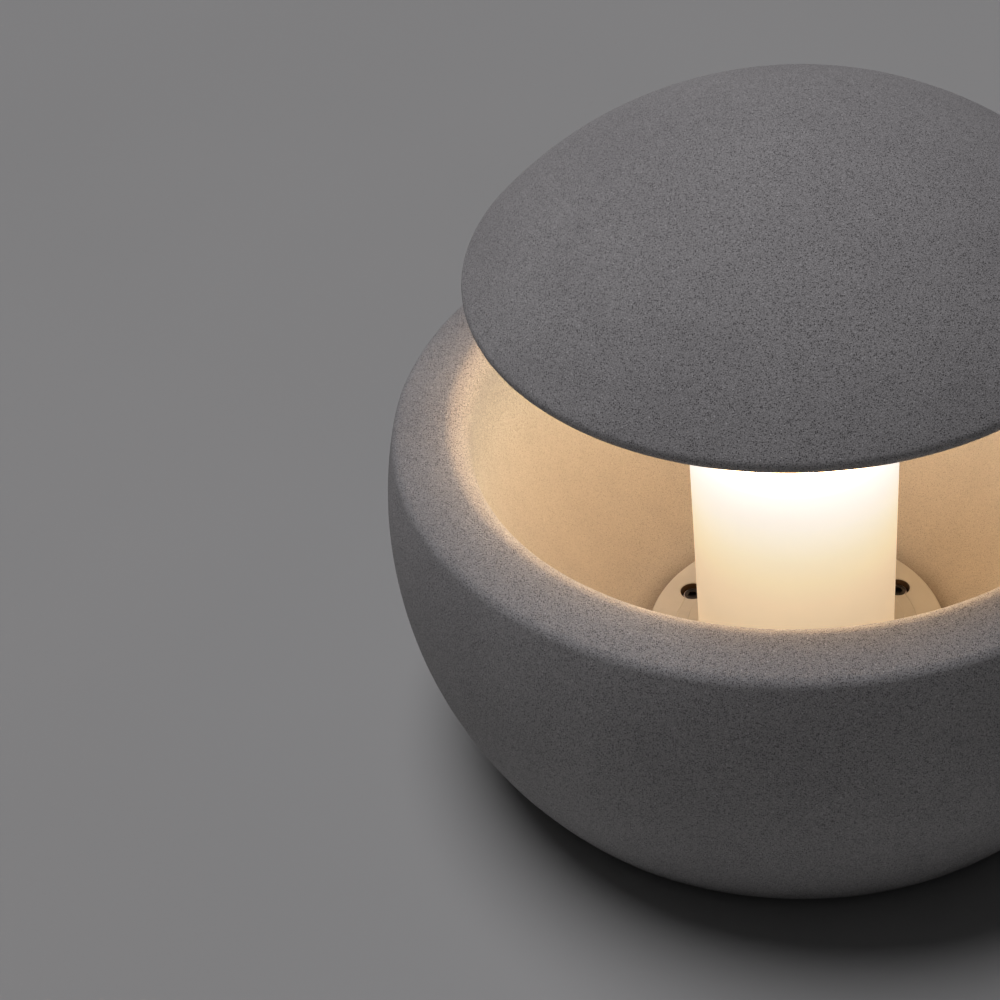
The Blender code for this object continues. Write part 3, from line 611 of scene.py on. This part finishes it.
def weathered(mesh, depth):
    """Lets a cast surface undulate softly, inwards only."""
    offsets = []
    for vert, normal in zip(mesh.vertices, mesh.vertex_normals):
        swell = 0.5 + 0.5 * noise.noise(vert.co * 45)
        ripple = 0.5 + 0.5 * noise.noise(vert.co * 190)
        offsets.append(normal.vector * depth * (0.65 * swell + 0.35 * ripple))
    for vert, offset in zip(mesh.vertices, offsets):
        vert.co -= offset
    return mesh


# ---------------------------------------------------------------- stone


def bowl_profile():
    """From the floor's middle, up the hollow, over the rim, down the ball to the underside's middle."""
    turn = math.radians(RIM_START_ANGLE)
    rim_start = (BALL_RADIUS * math.cos(turn), BALL_CENTRE_Z + BALL_RADIUS * math.sin(turn))
    rim = [rim_start] + tangent_arcs(rim_start, RIM_START_ANGLE, RIM_ARCS, 4)
    hollow_radius = rim[-1][0]
    seat_angle = math.degrees(math.acos(HOLLOW_EDGE_RADIUS / hollow_radius))
    hollow = arc((0.0, HOLLOW_CENTRE_Z), hollow_radius, -seat_angle, 0, 48)
    floor = [(0.0, FLOOR_Z), (SEAT_RADIUS, FLOOR_Z), (HOLLOW_EDGE_RADIUS, hollow[0][1], 0.15 * MM), hollow[1]]
    fillet_radius = BALL_RADIUS - BASE_FILLET
    drop = BOWL_BASE_Z + BASE_FILLET - BALL_CENTRE_Z
    meet = math.degrees(math.asin(drop / fillet_radius))
    ball = arc((0.0, BALL_CENTRE_Z), BALL_RADIUS, RIM_START_ANGLE, meet, 48)[1:]
    fillet_centre = (fillet_radius * math.cos(math.radians(meet)), BOWL_BASE_Z + BASE_FILLET)
    fillet = arc(fillet_centre, BASE_FILLET, meet, -90, 6)[1:]
    return rounded(floor, steps=4)[:-1] + hollow[1:] + rim[::-1] + ball + fillet + [(0.0, BOWL_BASE_Z)]


def make_bowl():
    body = weathered(turned(densified(bowl_profile(), STONE_GRID), STONE_SEGMENTS), 0.22 * MM)
    groove_start = (-GROOVE_HALF_WIDTH, INLET_Y - GROOVE_HALF_WIDTH, -MM)
    cutters = [block(groove_start, (GROOVE_HALF_WIDTH, BALL_RADIUS, GROOVE_TOP_Z))]
    foot_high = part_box("foot_pad_1")[1].z + GAP
    for angle in FOOT_ANGLES:
        cutters.append(cylinder(*on_circle(FOOT_CIRCLE, angle), 11.3 * MM, -MM, foot_high, SMALL_ROUND))
    anchor_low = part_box("stone_anchor_1")[0].z - GAP
    for angle in PLATE_SCREW_ANGLES:
        x, y = on_circle(PLATE_SCREW_CIRCLE, angle)
        cutters.append(cylinder(x, y, INSERT_HOLE, anchor_low, FLOOR_Z + MM))
    inlet = cylinder(0.0, INLET_Y, 9 * MM, GROOVE_TOP_Z - MM, FLOOR_Z + MM, SMALL_ROUND)
    stand_in("stone_bowl", carved(body, joined(cutters), inlet), "stone")


def cap_profile():
    """From the top of the dome, round the edge, to the underside's recess."""
    low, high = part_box("stone_cap")
    edge, dome_radius = 3.6 * MM, 148.35 * MM
    edge_r, edge_z = high.x - edge, low.z + edge
    dome_z = edge_z - math.sqrt((dome_radius - edge) ** 2 - edge_r**2)
    meet = math.degrees(math.atan2(edge_z - dome_z, edge_r))
    dome = arc((0.0, dome_z), dome_radius, 90, meet, 40)
    dome[0] = (0.0, dome_z + dome_radius)
    lip = arc((edge_r, edge_z), edge, meet, -90, 14)[1:]
    recess_r, recess_z = 46 * MM, low.z + 4.6 * MM
    recess = [(recess_r, low.z, 0.8 * MM), (recess_r, recess_z, 0.8 * MM), (0.0, recess_z)]
    return dome + lip[:-1] + rounded([lip[-1], *recess])


def make_cap():
    body = weathered(turned(densified(cap_profile(), STONE_GRID), STONE_SEGMENTS), 0.2 * MM)
    low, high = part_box("cap_insert_1")
    cutters = []
    for angle in CAP_SCREW_ANGLES:
        x, y = on_circle(CAP_SCREW_CIRCLE, angle)
        cutters.append(cylinder(x, y, INSERT_HOLE, low.z - 3 * MM, high.z + GAP))
    stand_in("stone_cap", carved(body, joined(cutters)), "stone")


def make_feet():
    """Rubber feet with a rounded edge and two shallow rings under them."""
    low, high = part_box("foot_pad_1")
    radius = (high.x - low.x) / 2
    outline = [(0.0, high.z), (radius, high.z, 0.4 * MM), (radius, low.z, 0.9 * MM)]
    for ring in (8.2 * MM, 5.2 * MM):
        outline += [(ring, low.z), (ring - 0.4 * MM, low.z + 0.5 * MM), (ring - 1.2 * MM, low.z + 0.5 * MM)]
        outline += [(ring - 1.6 * MM, low.z)]
    outline.append((0.0, low.z))
    for number in range(1, len(FOOT_ANGLES) + 1):
        cad_node = f"foot_pad_{number}"
        mesh = turned(rounded(outline), SMALL_ROUND, at=centre_of(cad_node)[:2])
        stand_in(cad_node, mesh, "rubber")


# ---------------------------------------------------------------- screws, inserts and seals


def screw(cad_node, finish, head_radius, head_height, shank_radius, head_down=False, bore=0.55):
    """A hexagon-socket screw with a rolled thread, in the place of the CAD screw."""
    low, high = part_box(cad_node)
    length = high.z - low.z - head_height
    pitch, depth = 0.7 * MM, 0.28 * MM
    head = [(0.0, head_height), (head_radius, head_height, 0.5 * MM), (head_radius, 0.0, 0.15 * MM)]
    head += [(shank_radius, 0.0)]
    outline = rounded(head)
    rows = math.ceil(length / pitch * 5)
    shank = [(shank_radius, -length * row / rows) for row in range(1, rows)]
    outline += shank + [(shank_radius - 0.6 * MM, -length), (0.0, -length)]

    def thread(radius, z, angle):
        if z > -pitch or radius < shank_radius - ON_AXIS or radius > shank_radius + ON_AXIS:
            return radius
        turn = (z / pitch - angle / (2 * math.pi)) % 1.0
        fade = min(1.0, (-z - pitch) / pitch)
        return radius - depth * fade * abs(2 * turn - 1)

    mesh = turned(outline, 36, wave=thread)
    socket = cylinder(0.0, 0.0, head_radius * bore, head_height * 0.3, head_height + MM, 6)
    mesh = carved(mesh, socket)
    centre = (low + high) / 2
    if head_down:
        seat = Matrix.Translation((centre.x, centre.y, low.z + head_height))
        seat = seat @ Matrix.Rotation(math.pi, 4, "X")
    else:
        seat = Matrix.Translation((centre.x, centre.y, high.z - head_height))
    piece = stand_in(cad_node, moved(mesh, seat), finish)
    # The dark screw heads' rounded top edge is given a painted highlight
    if finish == "dark_steel":
        seen = (centre.xy, head_radius, high.z)
        second_finish(piece, "painted_highlight_edge", lambda face: on_painted_highlight_edge(face, *seen))


def on_painted_highlight_edge(face, middle, radius, top):
    """Whether a face of an upright screw's head is part of its rounded top edge, which carries a painted
    highlight.
    """
    outside = (face.center.xy - middle).length > radius - 0.5 * MM
    return outside and top - 0.45 * MM < face.center.z < top - 0.02 * MM


def insert(cad_node):
    """A knurled brass insert with a waist."""
    low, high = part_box(cad_node)
    radius, bore = (high.x - low.x) / 2, 2.2 * MM
    waist = (low.z + high.z) / 2
    corners = [(bore, high.z, 0.3 * MM), (radius, high.z, 0.3 * MM), (radius, waist + 0.9 * MM)]
    corners += [(radius - 0.5 * MM, waist + 0.6 * MM), (radius - 0.5 * MM, waist - 0.6 * MM)]
    corners += [(radius, waist - 0.9 * MM), (radius, low.z, 0.3 * MM), (bore, low.z, 0.3 * MM)]
    outline = densified(rounded(corners, closed=True, steps=3), 0.5 * MM)

    def knurl(reach, z, angle):
        if reach < radius - 0.05 * MM:
            return reach
        lean = (z - waist) / radius * (1 if z > waist else -1)
        return reach - 0.16 * MM * abs(math.sin(14 * (angle + 0.5 * lean)))

    place = centre_of(cad_node)
    stand_in(cad_node, turned(outline, 84, wave=knurl, at=place[:2]), "brass")


def o_ring(cad_node):
    low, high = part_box(cad_node)
    section = (high.z - low.z) / 2
    ring = high.x - section
    middle = (low.z + high.z) / 2
    outline = arc((ring, middle), section, 0, -337.5, 15)
    stand_in(cad_node, turned(outline, ROUND, closed=True), "rubber")


def gasket(cad_node, inner):
    low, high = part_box(cad_node)
    edge = 0.25 * MM
    corners = [(inner, high.z, edge), (high.x, high.z, edge), (high.x, low.z, edge), (inner, low.z, edge)]
    stand_in(cad_node, turned(rounded(corners, closed=True, steps=3), ROUND), "rubber")


def make_fasteners():
    for number in (1, 2, 3):
        screw(f"plate_screw_{number}", "dark_steel", 3.6 * MM, 2.2 * MM, 1.9 * MM)
        screw(f"cap_screw_{number}", "steel", 3.6 * MM, 2.2 * MM, 1.9 * MM, head_down=True)
        insert(f"stone_anchor_{number}")
        insert(f"cap_insert_{number}")
    for number in (1, 2):
        screw(f"bracket_screw_{number}", "steel", 3.0 * MM, 2.0 * MM, 1.6 * MM)
        screw(f"holder_screw_{number}", "steel", 3.0 * MM, 2.0 * MM, 1.6 * MM, head_down=True)
        screw(f"clamp_screw_{number}", "steel", 2.5 * MM, 1.7 * MM, 1.2 * MM)
    screw("earth_screw", "brass", 3.3 * MM, 2.0 * MM, 1.6 * MM)
    o_ring("lower_o_ring")
    o_ring("cap_o_ring")
    gasket("floor_gasket", 50.8 * MM)
    gasket("cap_gasket", 34 * MM)


# ---------------------------------------------------------------- base plate and its wiring


def make_base_plate():
    """Moulded plate with a spigot for the tube, a shallow track through its three counterbores."""
    low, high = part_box("base_plate")
    top = PLATE_TOP_Z
    radius = high.x
    track_inner, track_outer, track_depth = 42 * MM, 46.7 * MM, 0.3 * MM
    corners = [
        (0.0, top),
        (31 * MM, top, 0.8 * MM),
        (31 * MM, high.z, 0.5 * MM),
        (34 * MM, high.z, 0.9 * MM),
        (34 * MM, top + 7.25 * MM, 0.15 * MM),
        (32.2 * MM, top + 7.25 * MM, 0.3 * MM),
        (32.2 * MM, top + 4.05 * MM, 0.3 * MM),
        (34 * MM, top + 4.05 * MM, 0.15 * MM),
        (34 * MM, top),
        (track_inner, top, 0.1 * MM),
        (track_inner + 0.25 * MM, top - track_depth, 0.1 * MM),
        (track_outer - 0.25 * MM, top - track_depth, 0.1 * MM),
        (track_outer, top, 0.1 * MM),
        (radius, top, 1.1 * MM),
        (radius, low.z, 0.5 * MM),
        (0.0, low.z),
    ]
    plate = turned(rounded(corners), 240)
    holes = []
    for angle in PLATE_SCREW_ANGLES:
        x, y = on_circle(PLATE_SCREW_CIRCLE, angle)
        bit = [(0.0, top + MM), (6.1 * MM, top + MM), (4.75 * MM, top - 0.35 * MM)]
        bit += [(4.75 * MM, 20.95 * MM), (2.5 * MM, 20.95 * MM), (2.5 * MM, low.z - MM), (0.0, low.z - MM)]
        holes.append(turned(bit, SMALL_ROUND, at=(x, y)))
    holes.append(cylinder(0.0, INLET_Y, 6.3 * MM, low.z - MM, top + MM, SMALL_ROUND))
    for cad_node, hole, depth in (
        ("bracket_screw_1", M3_HOLE, 5 * MM),
        ("bracket_screw_2", M3_HOLE, 5 * MM),
        ("clamp_screw_1", CLAMP_SCREW_HOLE, 5 * MM),
        ("clamp_screw_2", CLAMP_SCREW_HOLE, 5.6 * MM),
        ("earth_screw", M3_HOLE, 5.6 * MM),
    ):
        place = centre_of(cad_node)
        holes.append(cylinder(place.x, place.y, hole, top - depth, top + MM))
    piece = stand_in("base_plate", carved(plate, joined(holes)), "plate")

    def in_counterbore(face):
        axes = [Vector(on_circle(PLATE_SCREW_CIRCLE, angle)) for angle in PLATE_SCREW_ANGLES]
        reach = min((face.center.xy - axis).length for axis in axes)
        return reach < 5.0 * MM and face.center.z < top - 0.5 * MM

    # The counterbores' walls and floors take the dark brown painted shade
    second_finish(piece, "painted_shade_bore", in_counterbore)


def make_grommet():
    low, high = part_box("cable_grommet")
    place = centre_of("cable_grommet")
    flange, neck, bore = high.x, 6.0 * MM, 3.6 * MM
    plate_high, plate_low = 25.65 * MM, 19.05 * MM
    corners = [
        (bore, high.z, 0.5 * MM),
        (flange, high.z, 0.9 * MM),
        (flange, plate_high, 0.3 * MM),
        (neck, plate_high),
        (neck, plate_low),
        (flange, plate_low, 0.4 * MM),
        (flange - 1.2 * MM, low.z, 0.5 * MM),
        (bore, low.z, 0.5 * MM),
    ]
    mesh = turned(rounded(corners, closed=True), SMALL_ROUND, at=place[:2])
    stand_in("cable_grommet", mesh, "rubber")


def make_clamp():
    """Moulded saddle that holds the supply cable."""
    low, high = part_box("cable_clamp")
    bar, bore = 2.4 * MM, 4.2 * MM
    centre = (0.0, low.z + 3 * MM)
    arch = arc(centre, bore + bar, 8, 172, 20)
    tunnel = arc(centre, bore, 180, 0, 20)
    outline = [(high.x, low.z, 0.4 * MM), (high.x, low.z + bar, 0.8 * MM), (bore + bar, low.z + bar)]
    outline = rounded(outline) + arch + rounded(
        [(-bore - bar, low.z + bar), (low.x, low.z + bar, 0.8 * MM), (low.x, low.z, 0.4 * MM), (-bore, low.z)]
    )
    outline += tunnel + [(bore, low.z)]
    mesh = strip(outline, low.y, high.y, 0.25 * MM)
    holes = []
    for number in (1, 2):
        place = centre_of(f"clamp_screw_{number}")
        holes.append(cylinder(place.x, place.y, CLAMP_SCREW_HOLE, low.z - MM, low.z + bar + MM))
    stand_in("cable_clamp", carved(mesh, joined(holes)), "white_plastic")


def make_terminal_block():
    """Two-pole terminal block: screw wells on top, wire ports through it, and brass clamping screws."""
    low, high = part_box("terminal_block")
    body = block(low, high, 0.7 * MM)
    middle_y = (low.y + high.y) / 2
    waist = block((-0.6 * MM, low.y - MM, low.z + 3 * MM), (0.6 * MM, high.y + MM, high.z + MM))
    cutters = [waist]
    wells = []
    for x in (-LEAD_X, LEAD_X):
        wells.append(cylinder(x, low.y + 2.6 * MM, 1.9 * MM, high.z - 5 * MM, high.z + MM, 32))
        port = turned(
            [(0.0, high.y + MM), (1.7 * MM, high.y + MM), (1.7 * MM, low.y - MM), (0.0, low.y - MM)], 32
        )
        port = moved(port, Matrix.Rotation(math.pi / 2, 4, "X"))
        port = moved(port, Matrix.Translation((x, low.y + high.y, low.z + 3.4 * MM)))
        cutters.append(port)
    for y in (middle_y, high.y - 0.2 * MM):
        cutters.append(cylinder(0.0, y, 1.2 * MM, high.z - 3 * MM, high.z + 2 * MM, 32))
    body = carved(body, *cutters, joined(wells))
    stand_in("terminal_block", body, "white_plastic")
    for number, x in enumerate((-LEAD_X, LEAD_X), 1):
        head = [(0.0, high.z - 1.2 * MM), (1.55 * MM, high.z - 1.2 * MM, 0.3 * MM)]
        head += [(1.55 * MM, high.z - 4.6 * MM, 0.2 * MM), (0.0, high.z - 4.6 * MM)]
        mesh = turned(rounded(head), 32, at=(x, low.y + 2.6 * MM))
        slot_low = (x - 2 * MM, low.y + 2.3 * MM, high.z - 2.0 * MM)
        slot_high = (x + 2 * MM, low.y + 2.9 * MM, high.z)
        mesh = carved(mesh, block(slot_low, slot_high))
        add_piece(f"terminal_screw_{number}", mesh, "brass", "root")


def make_leads():
    """The two insulated leads from the terminal block up to the holder."""
    for name, finish in (("live_lead", "brown_lead"), ("neutral_lead", "blue_lead")):
        low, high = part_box(name)
        side = math.copysign(1.0, low.x)
        x = LEAD_X * side
        points = []
        for step in range(25):
            share = step / 24
            bow = 1.2 * MM * math.sin(math.pi * share) ** 2
            points.append(Vector((x + side * bow, -16 * MM + bow, low.z + (high.z - low.z) * share)))
        stand_in(name, swept(points, 1.1 * MM, 20), finish)


def make_washer():
    low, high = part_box("earth_washer")
    place = centre_of("earth_washer")
    bore, radius, edge = 2.0 * MM, (high.x - low.x) / 2, 0.2 * MM
    corners = [(bore, high.z, edge), (radius, high.z, edge), (radius, low.z, edge), (bore, low.z, edge)]
    mesh = turned(rounded(corners, closed=True, steps=3), SMALL_ROUND, at=place[:2])
    stand_in("earth_washer", mesh, "brass")


# ---------------------------------------------------------------- holder


def make_bracket():
    """Hat-shaped steel strip with bent corners and screw holes."""
    low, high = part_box("holder_bracket")
    sheet = 1.5 * MM
    outer, inner, bend = 20 * MM, 20 * MM - sheet, 1.6 * MM
    right = [
        (inner, high.z - sheet, bend),
        (inner, low.z, 0.3 * MM),
        (high.x, low.z, 0.4 * MM),
        (high.x, low.z + sheet, 0.4 * MM),
        (outer, low.z + sheet, bend),
        (outer, high.z, bend + 0.6 * MM),
    ]
    left = [(-x, z, fillet) for x, z, fillet in right[::-1]]
    mesh = strip(rounded(right + left, closed=True), low.y, high.y, 0.2 * MM)
    holes = []
    for cad_node in ("bracket_screw_1", "bracket_screw_2"):
        place = centre_of(cad_node)
        holes.append(cylinder(place.x, 0.0, M3_HOLE, low.z - MM, low.z + sheet + MM))
    for cad_node in ("holder_screw_1", "holder_screw_2"):
        place = centre_of(cad_node)
        holes.append(cylinder(place.x, 0.0, M3_HOLE, high.z - sheet - MM, high.z + MM))
    stand_in("holder_bracket", carved(mesh, joined(holes)), "steel")


def make_holder():
    """Glazed ceramic lamp holder with a flange, two bands and a threaded sleeve inside."""
    low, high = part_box("holder_body")
    radius, flange = 20.5 * MM, high.x
    corners = [
        (0.0, 59 * MM),
        (15.7 * MM, 59 * MM, 0.8 * MM),
        (15.7 * MM, high.z, 0.7 * MM),
        (radius, high.z, 1.6 * MM),
        (radius, 80 * MM, 0.4 * MM),
        (radius - 0.7 * MM, 79 * MM, 0.4 * MM),
        (radius - 0.7 * MM, 64 * MM, 0.4 * MM),
        (radius, 63 * MM, 0.4 * MM),
        (radius, 60 * MM, 1.0 * MM),
        (flange, 57 * MM, 1.0 * MM),
        (flange, low.z, 1.2 * MM),
        (0.0, low.z),
    ]

    def flutes(reach, z, angle):
        if 65 * MM < z < 78 * MM and reach > 19 * MM:
            return reach - 0.35 * MM * (0.5 + 0.5 * math.cos(24 * angle))
        return reach

    body = turned(densified(rounded(corners), 1.2 * MM), 192, wave=flutes)
    holes = []
    for number in (1, 2):
        place = centre_of(f"holder_screw_{number}")
        holes.append(cylinder(place.x, 0.0, M3_HOLE, low.z - MM, low.z + 8.5 * MM))
    stand_in("holder_body", carved(body, joined(holes)), "ceramic")

    low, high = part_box("holder_shell")
    mesh = threaded_sleeve(14.8 * MM, 0.42 * MM, 0.45 * MM, low.z, high.z, LAMP_THREAD_PITCH)
    stand_in("holder_shell", mesh, "nickel")


def threaded_sleeve(middle, swing, wall, low, high, pitch):
    """A rolled sleeve: its wall waves in and out as a screw thread, and runs plain at both ends."""
    rows = math.ceil((high - low) / (pitch / 12))

    def wave(radius, z, angle):
        fade = min(1.0, (z - low) / pitch, (high - z) / pitch)
        turn = z / pitch - angle / (2 * math.pi)
        return radius + swing * max(0.0, fade) * math.cos(2 * math.pi * turn)

    heights = [high - (high - low) * row / rows for row in range(rows + 1)]
    outline = [(middle + wall / 2, z) for z in heights]
    outline += [(middle - wall / 2, z) for z in heights[::-1]]
    return turned(outline, 96, closed=True, wave=wave)


def make_contact():
    """Brass leaf spring on the holder's floor."""
    low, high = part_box("holder_contact")
    leaf = 0.6 * MM
    corners = [
        (-9 * MM, low.z),
        (-3 * MM, low.z, 0.8 * MM),
        (2 * MM, high.z - leaf, 0.8 * MM),
        (5 * MM, high.z - leaf),
        (5 * MM, high.z),
        (1.6 * MM, high.z, 1.2 * MM),
        (-3.4 * MM, low.z + leaf, 1.2 * MM),
        (-9 * MM, low.z + leaf),
    ]
    mesh = strip(rounded(corners, closed=True), low.y, high.y, 0.12 * MM)
    stand_in("holder_contact", mesh, "brass")


# ---------------------------------------------------------------- diffuser, cap plate and lamp


def make_diffuser():
    low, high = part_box("diffuser_tube")
    wall, bottom, top, edge = 2.6 * MM, 37.2 * MM, high.x, 0.9 * MM
    corners = [
        (top - wall, high.z, edge),
        (top, high.z, edge),
        (bottom, low.z, edge),
        (bottom - wall, low.z, edge),
    ]
    outline = densified(rounded(corners, closed=True), 4 * MM)
    stand_in("diffuser_tube", turned(outline, 240), "opal_tube")


def make_cap_plate():
    """Moulded plate in the cap's recess: spigot for the tube, ribs and a boss ring."""
    low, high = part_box("cap_plate")
    under = high.z - 3 * MM
    outer, inner = 35.8 * MM, 32.8 * MM
    corners = [
        (0.0, high.z),
        (high.x, high.z, 0.6 * MM),
        (high.x, under, 0.4 * MM),
        (outer, under),
        (outer, under - 2.7 * MM, 0.15 * MM),
        (34 * MM, under - 2.7 * MM, 0.3 * MM),
        (34 * MM, under - 5.9 * MM, 0.3 * MM),
        (outer, under - 5.9 * MM, 0.15 * MM),
        (outer, low.z, 0.8 * MM),
        (inner, low.z, 0.5 * MM),
        (inner, under, 0.8 * MM),
        (15 * MM, under, 0.3 * MM),
        (14.5 * MM, under - 0.8 * MM, 0.3 * MM),
        (12.5 * MM, under - 0.8 * MM, 0.3 * MM),
        (12 * MM, under, 0.3 * MM),
        (0.0, under),
    ]
    holes = []
    for angle in CAP_SCREW_ANGLES:
        x, y = on_circle(CAP_SCREW_CIRCLE, angle)
        holes.append(cylinder(x, y, 2.2 * MM, under - MM, high.z + MM))
    stand_in("cap_plate", carved(turned(rounded(corners), 240), joined(holes)), "plate")


def make_lamp():
    """Screw-in lamp: contact, glass insulator, rolled screw cap, housing, LED board and opal globe."""
    low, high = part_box("bulb_contact")
    radius = high.x
    corners = [(0.0, high.z), (radius, high.z, 0.3 * MM), (radius * 0.92, low.z + 1.2 * MM, 0.5 * MM)]
    corners += [(radius * 0.5, low.z + 0.12 * MM, 1.5 * MM), (0.0, low.z)]
    stand_in("bulb_contact", turned(rounded(corners), 48), "nickel")

    low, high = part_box("bulb_insulator")
    corners = [(0.0, high.z), (high.x, high.z, 0.4 * MM), (high.x * 0.86, (low.z + high.z) / 2, 2 * MM)]
    corners += [(5.6 * MM, low.z, 0.5 * MM), (0.0, low.z)]
    stand_in("bulb_insulator", turned(rounded(corners), SMALL_ROUND), "black_glass")

    low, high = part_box("bulb_screw_cap")
    mesh = threaded_sleeve(12.5 * MM, 0.42 * MM, 0.5 * MM, low.z, high.z, LAMP_THREAD_PITCH)
    stand_in("bulb_screw_cap", mesh, "nickel")

    low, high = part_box("bulb_housing")
    corners = [
        (0.0, low.z + 2.2 * MM),
        (11.5 * MM, low.z + 2.2 * MM, 1.0 * MM),
        (24.8 * MM, 119 * MM, 1.5 * MM),
        (27.4 * MM, high.z, 0.3 * MM),
        (high.x, high.z, 0.5 * MM),
        (28.6 * MM, 121 * MM, 6 * MM),
        (25.6 * MM, 113 * MM, 12 * MM),
        (14.6 * MM, low.z + 1.5 * MM, 1.0 * MM),
        (13.6 * MM, low.z, 0.3 * MM),
        (0.0, low.z),
    ]
    mesh = turned(rounded(corners, steps=8), 128)
    stand_in("bulb_housing", mesh, "white_plastic")

    low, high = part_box("bulb_led_board")
    board_top = high.z
    corners = [(0.0, high.z), (high.x, high.z, 0.15 * MM), (high.x, low.z, 0.15 * MM), (0.0, low.z)]
    stand_in("bulb_led_board", turned(rounded(corners), 96), "led_board")
    for number in range(10):
        angle = number * 36
        chip = block((-1.4 * MM, -1.75 * MM, 0.0), (1.4 * MM, 1.75 * MM, 0.75 * MM), 0.15 * MM)
        turn = Matrix.Rotation(math.radians(angle), 4, "Z")
        place = Matrix.Translation((*on_circle(17 * MM, angle), board_top + 0.02 * MM))
        add_piece(f"led_chip_{number + 1}", moved(chip, place @ turn), "led_board", "lamp")

    low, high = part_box("bulb_globe")
    radius, wall = high.x, 1.2 * MM
    middle = high.z - radius
    outer_end = math.degrees(math.asin((low.z - middle) / radius))
    inner_end = math.degrees(math.asin((low.z - middle) / (radius - wall)))
    outline = arc((0.0, middle), radius, 90, outer_end, 36)
    inside = arc((0.0, middle), radius - wall, inner_end, 90, 36)
    outline[0] = (0.0, high.z)
    inside[-1] = (0.0, high.z - wall)
    stand_in("bulb_globe", turned(outline + inside, 96, closed=False), "opal_globe")


# ---------------------------------------------------------------- stage


def soft_sun(name, place, strength, width):
    """An even overhead light as soft as a large softbox, aimed from a place at the origin."""
    data = bpy.data.lights.new(name, "SUN")
    data.energy = strength
    data.angle = math.radians(width)
    data.color = SUN_TINT
    light = bpy.data.objects.new(name, data)
    bpy.context.scene.collection.objects.link(light)
    light.location = place
    light.rotation_euler = (-Vector(place)).to_track_quat("-Z", "Y").to_euler()


def make_floor():
    made, tree, shader = start_material("floor_paper")
    tint = ramp(tree, mottle(tree, 3, 2), [(0.3, (0.495, 0.50, 0.485)), (0.7, (0.515, 0.52, 0.505))])
    tree.links.new(tint, shader.inputs["Base Color"])
    shader.inputs["Roughness"].default_value = 0.9
    corners = [(-1, -1), (1, -1), (1, 1), (-1, 1)]
    mesh = bpy.data.meshes.new("floor")
    mesh.from_pydata([(x * FLOOR_HALF, y * FLOOR_HALF, 0) for x, y in corners], [], [(0, 1, 2, 3)])
    mesh.materials.append(made)
    floor = bpy.data.objects.new("floor", mesh)
    bpy.context.scene.collection.objects.link(floor)


def make_lights():
    soft_sun("overhead_softbox", SUN_FROM, SUN_STRENGTH, SUN_WIDTH)
    world = bpy.data.worlds.new("studio")
    world.use_nodes = True
    background = world.node_tree.nodes["Background"]
    background.inputs["Color"].default_value = ROOM_TINT
    background.inputs["Strength"].default_value = ROOM_STRENGTH
    bpy.context.scene.world = world
    bpy.context.scene.view_settings.view_transform = "Standard"


def make_camera():
    up_tilt, side_tilt = CAMERA_ELEVATION, CAMERA_ROLL
    forward = Vector((0.0, math.cos(up_tilt), -math.sin(up_tilt)))
    right = Vector((1.0, 0.0, 0.0))
    up = Vector((0.0, math.sin(up_tilt), math.cos(up_tilt)))
    rolled_right = right * math.cos(side_tilt) + up * math.sin(side_tilt)
    rolled_up = up * math.cos(side_tilt) - right * math.sin(side_tilt)
    offset = forward * CAMERA_DISTANCE + right * CAMERA_ACROSS + up * CAMERA_UP
    place = Vector((0.0, 0.0, BALL_CENTRE_Z)) - offset * BALL_RADIUS
    data = bpy.data.cameras.new("camera")
    data.lens = CAMERA_LENS
    data.clip_start = 0.01
    camera = bpy.data.objects.new("camera", data)
    bpy.context.scene.collection.objects.link(camera)
    axes = Matrix((rolled_right, rolled_up, -forward)).transposed().to_4x4()
    camera.matrix_world = Matrix.Translation(place) @ axes
    bpy.context.scene.camera = camera


def main():
    make_camera()
    make_floor()
    make_lights()
    make_bowl()
    make_cap()
    make_feet()
    make_fasteners()
    make_base_plate()
    make_grommet()
    make_clamp()
    make_terminal_block()
    make_leads()
    make_washer()
    make_bracket()
    make_holder()
    make_contact()
    make_diffuser()
    make_cap_plate()
    make_lamp()


main()
